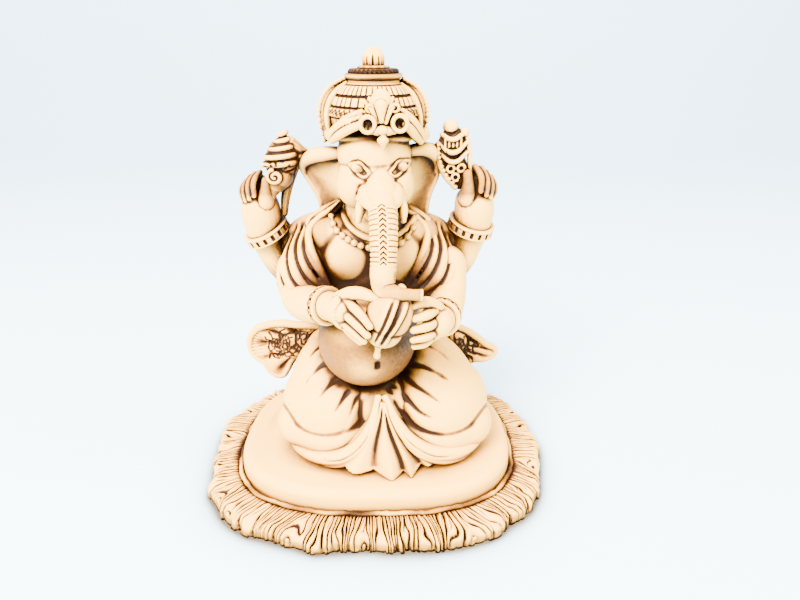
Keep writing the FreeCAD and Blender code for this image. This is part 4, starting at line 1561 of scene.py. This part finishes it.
@dataclass
class RaisedArms(Assembly):
    """Upper pair of arms with their armlets, hands and emblems."""

    anchor: str = "raised_mace"
    home: Triple = (25.8, 1.5, 116.729)

    def make(self) -> None:
        """Builds both arms and what they hold."""
        for side in Side:
            nodes = [
                side.named("raised_upper_arm"), side.named("raised_forearm"), side.named("raised_hand")
            ]
            self.deliver(self.arm(side), side.named("lifted_arm"), SKIN, nodes, self.hand_wash)
            self.deliver(
                self.armlet(side), side.named("slotted_armlet"), ORNAMENT, [side.named("armlet")]
            )
        self.deliver(self.conch(), "ridged_conch", ORNAMENT, ["raised_conch"], even_tint(0.44))
        self.deliver(self.mace(), "carved_mace", ORNAMENT, ["raised_mace"], even_tint(0.3))

    @staticmethod
    def hand_wash(points: np.ndarray) -> np.ndarray:
        """Wash on the curled fingers, and lower down on the upper arms."""
        z = points[:, 2]
        return 0.72 * np.clip((z - 101) / 5, 0, 1) + 0.6 * np.clip((84 - z) / 8, 0, 1)

    @staticmethod
    def arm(side: Side) -> bpy.types.Object:
        """Arm that rises from behind the shoulder to a full wrist, with curled fingers outside."""
        clay = Clay("raised", 0.29, 3)
        if side is Side.RIGHT:
            clay.roll(
                [(-27, 6, 72), (-32.6, 6.5, 78.5), (-36.2, 6.5, 85), (-37.6, 5.6, 91)],
                [5.4, 5.6, 5.6, 5.9],
            )
            clay.roll(
                [(-37.8, 5.2, 92), (-38.3, 4.6, 98), (-38.0, 4.0, 103), (-37.0, 3.6, 107)],
                [6.2, 6.7, 5.8, 3.6],
            )
            clay.roll([(-40.6, 4.0, 105.0), (-38.6, 4.4, 109.6)], [3.0, 2.4])
            thumb = [(-35.6, 0.6, 102.6), (-34.9, -0.9, 106.6), (-34.3, -1.2, 109.8)]
            tops = [(-36.8, 2.0, 112.0), (-38.7, 2.4, 111.4), (-40.5, 2.8, 110.4), (-42.0, 3.2, 109.0)]
            fronts = [
                (-38.2, -2.2, 109.6), (-40.2, -1.7, 108.6), (-41.9, -0.9, 107.4), (-43.3, 0.2, 106.2)
            ]
            ends = [(-38.5, -2.2, 105.2), (-40.3, -1.6, 104.0), (-41.9, -0.7, 103.2), (-43.2, 0.6, 103.0)]
            widths = [0.95, 0.92, 0.88, 0.82]
        else:
            clay.roll(
                [(25, 6, 75), (29.5, 6.5, 80), (32.2, 6.5, 86), (33.6, 5.6, 92)], [5.4, 5.6, 5.6, 5.9]
            )
            clay.roll(
                [(34.0, 5.2, 93), (34.2, 4.6, 99), (33.6, 4.0, 104), (33.4, 3.6, 107)],
                [6.1, 6.8, 5.8, 3.6],
            )
            clay.roll([(36.6, 4.0, 105.6), (35.0, 4.4, 111.0)], [3.2, 2.8])
            thumb = [(31.2, 0.6, 103.6), (31.2, -0.9, 108.6), (30.8, -1.2, 112.0)]
            tops = [(33.4, 1.2, 114.0), (35.6, 1.8, 113.4), (37.4, 2.4, 112.0), (39.2, 3.0, 110.4)]
            fronts = [(35.2, -2.2, 111.0), (37.2, -1.7, 109.9), (38.9, -0.9, 108.6), (40.3, 0.2, 107.4)]
            ends = [(35.2, -2.4, 106.8), (37.2, -1.8, 105.4), (38.7, -0.9, 104.4), (40.0, 0.4, 104.2)]
            widths = [1.05, 0.97, 0.92, 0.85]
        clay.roll(thumb, [2.9, 2.0, 1.55])
        for top, front, end, width in zip(tops, fronts, ends, widths):
            clay.roll([top, front, end], [width, width, width * 0.85])
        return clay.mould()

    @staticmethod
    def armlet(side: Side) -> bpy.types.Object:
        """Broad band with a row of upright slots."""
        if side is Side.RIGHT:
            centre, axis = (-36.9, 5.2, 91.0), (-0.40, -0.22, 0.90)
        else:
            centre, axis = (33.4, 5.2, 93.2), (0.24, -0.22, 0.94)

        def relief(angle: np.ndarray, across: np.ndarray) -> np.ndarray:
            rim = np.exp(-(((np.abs(across) - 0.80) / 0.16) ** 2)) * 0.35
            slot = np.clip(np.cos(angle * 17) - 0.1, 0, 1) * np.exp(-((across / 0.45) ** 4))
            return rim + 0.5 - slot * 0.75

        return ring_band("armlet", centre, axis, (6.9, 1.9, 0.6), relief)

    @staticmethod
    def conch() -> bpy.types.Object:
        """Conch in stacked rings, with a fan of grooves, a scroll and a tail."""
        clay = Clay("shell", 0.22, 2)
        clay.ball((-29.6, 2, 116.0), (5.1, 4.4, 7.4), (0, 12, 0))
        clay.roll([(-30.4, 1.5, 111), (-32.4, 1.0, 107.2), (-33.4, 0.8, 104.6)], [4.4, 2.9, 1.5])
        for z, x, half in (
            (124.4, -28.3, 1.0), (122.2, -28.7, 2.2), (120.0, -29.1, 3.6), (117.6, -29.6, 4.8),
            (115.2, -30.1, 5.3),
        ):
            ring = [(x + half * c, 1.6 - half * 0.85 * s, z + 0.5 * c) for c, s in circle(13)]
            clay.roll(ring, [0.88] * 13)
        clay.roll([(-26.5, 2, 121.5), (-24.2, 2.5, 119.8), (-21.8, 3.2, 118.8)], [2.2, 1.9, 0.9])
        clay.roll(
            [(-24.0, 3.4, 117.4), (-27.0, 4.0, 111.2), (-29.4, 4.6, 104.0), (-30.6, 5.4, 97.4)],
            [1.9, 2.0, 1.7, 1.3],
        )
        scroll = []
        for k in range(15):
            a = math.pi * 0.6 + k * 0.62
            r = 2.6 - 0.15 * k
            scroll.append((-31.0 + r * math.cos(a), -3.4, 111.6 + 0.9 * r * math.sin(a)))
        clay.roll(scroll, [0.75] * 15)
        carver = Carver(clay.mould())
        for k in range(7):
            a = math.radians(8 + 25 * k)
            start = (-30.6 + 2.9 * math.cos(a), 112.4 + 2.4 * math.sin(a))
            end = (-30.0 + 5.9 * math.cos(a + 0.22), 112.6 + 3.9 * math.sin(a + 0.22))
            carver.stroke([start, end], 0.62, -0.62, 1.0)
        return carver.finish()

    @staticmethod
    def mace() -> bpy.types.Object:
        """Tapered head with a knob, scalloped bands, scrolls and a beaded border."""
        clay = Clay("mace", 0.22, 2)
        clay.ball((25.8, 3, 120.0), (4.8, 3.0, 6.6), (0, 6, 0))
        clay.ball((27.6, 3, 112.4), (4.0, 2.8, 6.4), (0, -12, 0))
        clay.ball((25.1, 2.2, 126.4), (2.5, 2.2, 2.3))
        clay.roll([(22.3, 1.2, 124.2), (25.6, -0.4, 122.8), (29.4, 1.0, 124.6)], [0.75, 0.8, 0.75])
        clay.roll([(21.4, 1.2, 121.4), (25.8, -0.8, 118.8), (30.4, 0.8, 121.8)], [0.7, 0.85, 0.7])
        clay.roll([(21.8, 1.0, 118.4), (26.2, -0.8, 115.8), (30.4, 0.6, 118.6)], [0.7, 0.8, 0.7])
        for k in range(5):
            x = 23.4 + 1.25 * k
            clay.roll([(x, 0.0, 122.8), (x, -0.2, 120.6)], [0.42, 0.42])
        for x, z in ((25.4, 113.6), (28.8, 113.8), (27.0, 110.8)):
            loop = [
                (x + 1.15 * math.cos(a), -0.3, z + 1.15 * math.sin(a)) for a in np.linspace(0, 5.4, 9)
            ]
            clay.roll(loop, [0.48] * 9)
        border = [(21.0, 1.4, 121.0), (21.5, 1.0, 116.6), (23.4, 0.4, 112.0), (27.0, 0.2, 107.6)]
        clay.roll(border, [0.9, 1.1, 1.2, 1.1])
        for spot in spline(border, 11):
            clay.ball((spot[0] + 0.2, spot[1] - 1.0, spot[2] + 0.1), (0.62, 0.5, 0.62))
        clay.roll([(29.8, 1.6, 125.2), (31.2, 1.2, 119.4), (31.8, 1.0, 112.6)], [0.9, 0.85, 0.9])
        clay.ball((29.6, 1.4, 124.8), (1.5, 1.3, 1.5))
        carver = Carver(clay.mould())
        carver.stroke([(23.2, 125.2), (25.2, 124.4), (27.2, 125.2)], 0.6, -0.5, 1.0)
        carver.stroke([(23.4, 119.6), (26.0, 117.3), (29.4, 119.8)], 0.6, -0.5, 1.0)
        return carver.finish()


@dataclass
class Crown(Assembly):
    """Domed crown with slatted bands, arched wings, a brow band with rosettes, and a finial."""

    anchor: str = "crown_cap"
    home: Triple = (0.803, 0.0, 131.0)
    middle: tuple[float, float] = (0.9, 0.5)

    def make(self) -> None:
        """Builds the crown from the cap up, then its front."""
        self.deliver(self.cap(), "slatted_cap", ORNAMENT, ["crown_cap"], even_tint(0.26))
        self.deliver(
            self.tiers(), "crown_tiers", ORNAMENT, ["crown_collar", "crown_disc", "crown_finial"],
            self.disc_wash,
        )
        for side in Side:
            self.deliver(self.arch(side), side.named("beaded_arch"), ORNAMENT, [side.named("crown_arch")])
            nodes = [side.named("brow_flap"), side.named("rosette")]
            self.deliver(self.brow(side), side.named("brow_band"), ORNAMENT, nodes)
        self.deliver(self.jewel(), "brow_jewel", ORNAMENT, ["crown_plaque", "brow_pendant"])

    @staticmethod
    def disc_wash(points: np.ndarray) -> np.ndarray:
        """Wash on the notched disc and at the finial's foot."""
        z = points[:, 2]
        return 0.6 * np.exp(-(((z - 143.3) / 1.3) ** 2)) + 0.3 * np.clip((147 - z) / 2, 0, 1)

    def spin(
        self, name: str, profile: Sequence[Point], relief: Callable, columns: int, rows: int
    ) -> bpy.types.Object:
        """Turned body with a carved side.

        Args:
            name: the new object's name.
            profile: rows of radius and height, from bottom to top.
            relief: extra radius for the angle and the height.
            columns: faces round the axis.
            rows: faces along the profile.

        Returns:
            The closed body, in millimetres.
        """
        knots = np.array(profile)
        steps = np.linspace(0, 1, len(knots))

        def place(u: np.ndarray, v: np.ndarray) -> np.ndarray:
            angle = 2 * math.pi * u
            radius = np.interp(v, steps, knots[:, 0])
            z = np.interp(v, steps, knots[:, 1])
            radius = np.maximum(radius + relief(angle, z) * (radius > 0.8), 0) * (v > 0) * (v < 1)
            x = self.middle[0] + radius * np.sin(angle)
            y = self.middle[1] - radius * np.cos(angle)
            return np.stack((x, y, z), 1)

        return wrapped(name, columns, rows, place)

    def cap(self) -> bpy.types.Object:
        """Dome in four bands: facets, grains and two rows of slats."""
        curve = [
            (12.6, 127.4), (13.2, 128.0), (13.4, 129.0), (13.4, 130.4), (12.9, 133), (11.6, 136),
            (9.9, 138.4), (8.0, 140.2),
        ]
        side = spline(curve, 60)
        profile = [(0.0, 127.4)] + [tuple(p) for p in side] + [(0.0, 140.3)]
        dice = np.random.default_rng(17)
        uneven = dice.uniform(-1, 1, 200)

        def relief(angle: np.ndarray, z: np.ndarray) -> np.ndarray:
            height = np.zeros_like(z)
            for low, high, count, first in ((133.5, 136.3, 38, 0), (136.7, 139.4, 44, 60)):
                inside = np.clip((z - low) / 0.25, 0, 1) * np.clip((high - z) / 0.25, 0, 1)
                cell = angle / (2 * math.pi) * count + 0.12 * np.sin(9 * angle + first)
                part = cell - np.floor(cell)
                slat = np.clip(np.minimum(part, 1 - part) / 0.16, 0, 1)
                height += inside * (0.28 + 0.5 * slat + 0.12 * uneven[(cell.astype(int) + first) % 200])
            grain = np.clip((z - 130.3) / 0.3, 0, 1) * np.clip((133.3 - z) / 0.3, 0, 1)
            beads = np.cos(angle * 46 + 2 * np.sin(z * 2.6)) * np.cos((z - 131.8) * 4.6)
            height += grain * (0.9 + 0.32 * beads + 0.15 * np.sin(angle * 83 + 3 * z))
            facet = np.clip((130.0 - z) / 0.3, 0, 1)
            seam = np.exp(-(((angle / (2 * math.pi) * 16) % 1.0 - 0.5) / 0.05) ** 2)
            return height + facet * (0.15 - 0.35 * seam)

        return self.spin("cap", profile, relief, 430, 96)

    def tiers(self) -> bpy.types.Object:
        """Flared collar, notched disc, small ring and fluted finial."""
        parts = []
        collar = [
            (0.0, 139.4), (7.8, 139.4), (8.0, 140.0), (8.0, 140.8), (8.8, 141.6), (9.0, 142.1),
            (8.6, 142.5), (7.0, 142.6), (0, 142.6),
        ]
        parts.append(self.spin("collar", [tuple(p) for p in collar], lambda angle, z: 0 * z, 100, 30))

        def notches(angle: np.ndarray, z: np.ndarray) -> np.ndarray:
            wave = np.abs(np.sin(angle * 17 + 0.4 * np.sin(5 * angle)))
            return 0.55 * np.clip(wave * 1.6, 0, 1) - 0.55 + 0.14 * np.sin(angle * 31 + z * 4)

        turn = np.linspace(-math.pi / 2, math.pi / 2, 16)
        disc = (
            [(0.0, 142.0)] + [(6.7 + 1.1 * math.cos(a), 143.0 + 0.9 * math.sin(a)) for a in turn]
            + [(0.0, 143.9)]
        )
        parts.append(self.spin("disc", disc, notches, 280, 40))
        small = (
            [(0.0, 143.2)] + [(4.3 + 0.7 * math.cos(a), 144.1 + 0.6 * math.sin(a)) for a in turn]
            + [(0.0, 144.7)]
        )
        parts.append(self.spin("small", small, lambda angle, z: 0.05 * np.sin(angle * 13), 90, 24))

        def flutes(angle: np.ndarray, z: np.ndarray) -> np.ndarray:
            low = np.clip((148.0 - z) / 1.2, 0, 1)
            fine, broad = np.clip(np.cos(angle * 11), 0, 1), np.clip(np.cos(angle * 7), 0, 1)
            return -0.40 * low * fine**2 - 0.22 * broad**4

        top = [
            (0.0, 143.4), (3.3, 143.4), (3.3, 144.6), (3.5, 146.0), (3.4, 147.2), (2.9, 148.3),
            (2.0, 149.3), (1.0, 149.85), (0, 150),
        ]
        body = [tuple(p) for p in spline(top[1:], 40)]
        parts.append(self.spin("finial", [(0.0, 143.4)] + body, flutes, 190, 56))
        pick(parts[0])
        for part in parts:
            part.select_set(True)
        bpy.ops.object.join()
        return bpy.context.object

    @staticmethod
    def arch(side: Side) -> bpy.types.Object:
        """Wing of the crown: a smooth inner ridge and a beaded outer rim."""
        clay = Clay("arch", 0.25, 2)
        if side is Side.RIGHT:
            outer = [
                (-7.0, 1.0, 140.2), (-11.6, 1.4, 138.0), (-14.4, 1.4, 134.4), (-15.2, 1.2, 130.0),
                (-14.0, 0.8, 123.0),
            ]
            inner = [
                (-7.2, -1.6, 139.6), (-10.6, -1.8, 136.8), (-12.9, -2.0, 132.6), (-13.2, -2.2, 128.4),
                (-12.4, -2.4, 124.6),
            ]
        else:
            outer = [
                (9.4, 1.0, 140.0), (13.4, 1.4, 137.8), (15.8, 1.4, 134.2), (16.4, 1.2, 129.8),
                (15.2, 0.8, 122.6),
            ]
            inner = [
                (9.2, -1.6, 139.2), (12.2, -1.8, 136.6), (14.2, -2.0, 132.6), (14.9, -2.2, 128.4),
                (14.6, -2.4, 123.6),
            ]
        clay.roll(outer, [0.9, 1.3, 1.4, 1.3, 1.0])
        clay.roll(inner, [0.9, 1.25, 1.3, 1.25, 1.0])
        s = side.value
        nape = [
            (0.9 + s * 12.6, -2.0, 125.0), (0.9 + s * 12.0, 6.0, 125.0), (0.9 + s * 7.0, 11.4, 125.0),
            (0.9, 13.0, 125.0),
        ]
        clay.roll(nape, [2.2, 2.4, 2.4, 2.4])
        line = spline(outer, 16)
        centre = np.array((0.8, 1.0, 130.0))
        for spot in line:
            way = (spot - centre) / np.linalg.norm(spot - centre)
            clay.ball(tuple(spot + way * 1.1 + np.array((0, -0.8, 0))), (0.8, 0.8, 0.8))
        return clay.mould()

    @staticmethod
    def brow(side: Side) -> bpy.types.Object:
        """Sloping band with beads, a lower lip and an open ring at its inner end."""
        clay = Clay("brow", 0.22, 2)
        if side is Side.RIGHT:
            lip = [(-11.9, -5.4, 123.2), (-9.4, -9.4, 125.4), (-6.0, -12.2, 127.6), (-2.6, -13.6, 129.0)]
            upper = [
                (-11.6, -5.6, 126.4), (-8.8, -9.2, 129.2), (-5.4, -11.6, 131.4), (-2.2, -12.6, 132.6)
            ]
            ring, curl, turn = (-0.4, -14.4, 129.2), (0.4, -13.2, 133.4), 1
        else:
            lip = [(15.4, -4.6, 122.8), (13.6, -8.4, 125.2), (11.9, -11.2, 127.6), (10.6, -12.8, 129.0)]
            upper = [(15.0, -5.0, 126.4), (13.4, -8.2, 129.2), (11.4, -10.8, 131.6), (9.6, -12.2, 132.8)]
            ring, curl, turn = (9.0, -14.0, 129.5), (7.6, -13.2, 133.6), -1
        clay.roll(lip, [1.0, 1.3, 1.35, 1.2])
        clay.roll(upper, [0.8, 0.85, 0.85, 0.8])
        lining = [(x, y + 2.6, z + 1.2) for x, y, z in lip]
        clay.roll([(lip[0][0] - turn * 0.9, 0.0, 124.6)] + lining, [2.2, 2.3, 2.4, 2.4, 2.0])
        between = [
            tuple((np.array(a) + np.array(b)) / 2 + np.array((0, 1.4, 0))) for a, b in zip(lip, upper)
        ]
        clay.roll(between, [1.9, 2.1, 2.1, 1.9])
        for spot in spline(between, 13)[1:9]:
            clay.ball((spot[0], spot[1] - 1.9, spot[2] + 0.2), (0.45, 0.6, 0.85), (0, turn * 35, 0))
        loop = [(ring[0] + 2.1 * c, ring[1] - 0.4, ring[2] + 2.2 * s) for c, s in circle(17)]
        clay.roll(loop, [0.68] * 17)
        small = [(curl[0] + 1.1 * c, curl[1], curl[2] + 1.1 * s) for c, s in circle(13)]
        clay.roll(small, [0.5] * 13)
        return clay.mould()

    @staticmethod
    def jewel() -> bpy.types.Object:
        """Leaf plaque with side ribs, and a faceted drop below it."""
        clay = Clay("jewel", 0.2, 2)
        clay.ball((3.5, -12.9, 135.7), (2.9, 1.3, 3.3))
        clay.roll([(3.5, -13.2, 134.4), (3.6, -14.2, 130.0)], [2.0, 0.8])
        for turn in (-1, 1):
            for out in (3.4, 4.6):
                top = (3.5 + turn * out, -12.4, 136.4 - 0.9 * (out - 3.4))
                middle = (3.6 + turn * out * 0.55, -13.6, 132.2)
                foot = (3.6 + turn * out * 0.32, -14.0, 129.4)
                clay.roll([top, middle, foot], [0.5, 0.55, 0.45])
        clay.roll([(0.8, -13.0, 127.4), (3.8, -14.4, 127.2), (7.2, -13.0, 127.4)], [1.2, 1.5, 1.2])
        clay.ball((3.8, -15.2, 127.6), (1.75, 1.5, 1.4))
        clay.roll([(4.0, -15.6, 126.0), (4.0, -15.9, 124.9), (4.1, -15.9, 122.9)], [0.9, 1.75, 0.5])
        return clay.mould()


# ---------------------------------------------------------------- studio and build


@dataclass(frozen=True)
class Lamp:
    """Square soft light that points at the idol. Metres and watts."""

    where: Triple
    size: float
    power: float
    colour: Triple


@dataclass
class Studio:
    """Pale sweep, soft light and the camera."""

    low: Vector
    high: Vector
    aside: float = 0.009
    away: float = 0.143
    above: float = 0.002
    pitch: float = 23.5
    lens: float = 27.0
    sensor: float = 36.0
    glow: float = 2.0
    paper_shadow: float = 24.0
    target: Triple = (0.0, 0.0, 0.07)
    sky_colour: tuple[float, float, float, float] = (1.0, 0.93, 0.84, 1.0)
    sky_strength: float = 1.5
    lamps: tuple[Lamp, ...] = (
        Lamp((-0.30, -0.50, 0.70), 0.45, 98.0, (1.0, 0.88, 0.72)),
        Lamp((0.60, -0.20, 0.55), 0.5, 22.0, (1.0, 0.92, 0.80)),
    )
    floor_half_width: float = 2.5
    floor_front: float = 1.3
    floor_run: float = 2.0
    floor_bend: float = 0.35

    def make(self) -> None:
        """Sets up the floor, the lights and the camera."""
        self.sweep()
        self.lights()
        self.camera()

    def camera(self) -> None:
        """Places the camera level with the crown, looking down."""
        deselect()
        middle = (self.low.x + self.high.x) / 2
        eye = (middle + self.aside, self.low.y - self.away, self.high.z + self.above)
        bpy.ops.object.camera_add(location=eye, rotation=(math.radians(90 - self.pitch), 0, 0))
        camera = bpy.context.object
        camera.data.lens = self.lens
        camera.data.sensor_width = self.sensor
        camera.data.clip_start = 0.01
        bpy.context.scene.camera = camera

    def lights(self) -> None:
        """The lamps, and a pale sky all round."""
        world = bpy.data.worlds.new("sky")
        bpy.context.scene.world = world
        world.use_nodes = True
        sky = world.node_tree.nodes["Background"]
        sky.inputs["Color"].default_value = self.sky_colour
        sky.inputs["Strength"].default_value = self.sky_strength
        for lamp in self.lamps:
            deselect()
            way = Vector(self.target) - Vector(lamp.where)
            turn = way.to_track_quat("-Z", "Y").to_euler()
            bpy.ops.object.light_add(type="AREA", location=lamp.where, rotation=turn)
            light = bpy.context.object.data
            light.size = lamp.size
            light.energy = lamp.power
            light.color = lamp.colour

    def sweep(self) -> None:
        """Floor that curves up into a backdrop, with a painted shadow where the idol stands close."""
        deselect()
        bpy.ops.mesh.primitive_grid_add(x_subdivisions=2, y_subdivisions=60, size=2.0)
        sheet = bpy.context.object
        sheet.name = "paper_sweep"
        flat = read_points(sheet.data)
        run = (flat[:, 1] + 1.0) * 1.4
        start, bend = self.floor_run, self.floor_bend
        angle = np.clip((run - start) / bend, 0, math.pi / 2)
        past = np.maximum(run - start - bend * math.pi / 2, 0)
        y = np.minimum(run, start) + bend * np.sin(angle) - self.floor_front
        z = bend * (1 - np.cos(angle)) + past * 1.5
        write_points(sheet.data, np.stack((flat[:, 0] * self.floor_half_width, y, z), 1))
        bpy.ops.object.shade_smooth()
        paper = NodeShop("pale_paper")
        # Painted contact shadow: the paper's colour and glow turn dark brown where ambient occlusion
        # finds the idol within paper_shadow.
        open_sky = paper.open_sky(self.paper_shadow, 8)
        paper_with_painted_shadow = paper.mix(open_sky.step(0.62, 1.0), (0.06, 0.05, 0.035, 1.0), (0.56, 0.80, 1.0, 1.0))
        inputs = {
            "Base Color": paper_with_painted_shadow, "Roughness": 0.95, "Emission Color": paper_with_painted_shadow, "Emission Strength": self.glow
        }
        sheet.data.materials.append(paper.surface(inputs))
        sheet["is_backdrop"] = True


def main() -> None:
    """Builds the idol piece by piece."""
    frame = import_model()
    cad_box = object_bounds()
    LOG.info("frame with %d nodes", len(frame["nodes"]))
    shop = Workshop()
    for part in (Base, Legs, Torso, Head, Shawl, FrontArms, RaisedArms, Crown):
        LOG.info("building %s", part.__name__)
        part(shop).make()
    Studio(*(Vector(corner) for corner in cad_box)).make()


if __name__ == "__main__":
    logging.basicConfig(level=logging.INFO)
    main()
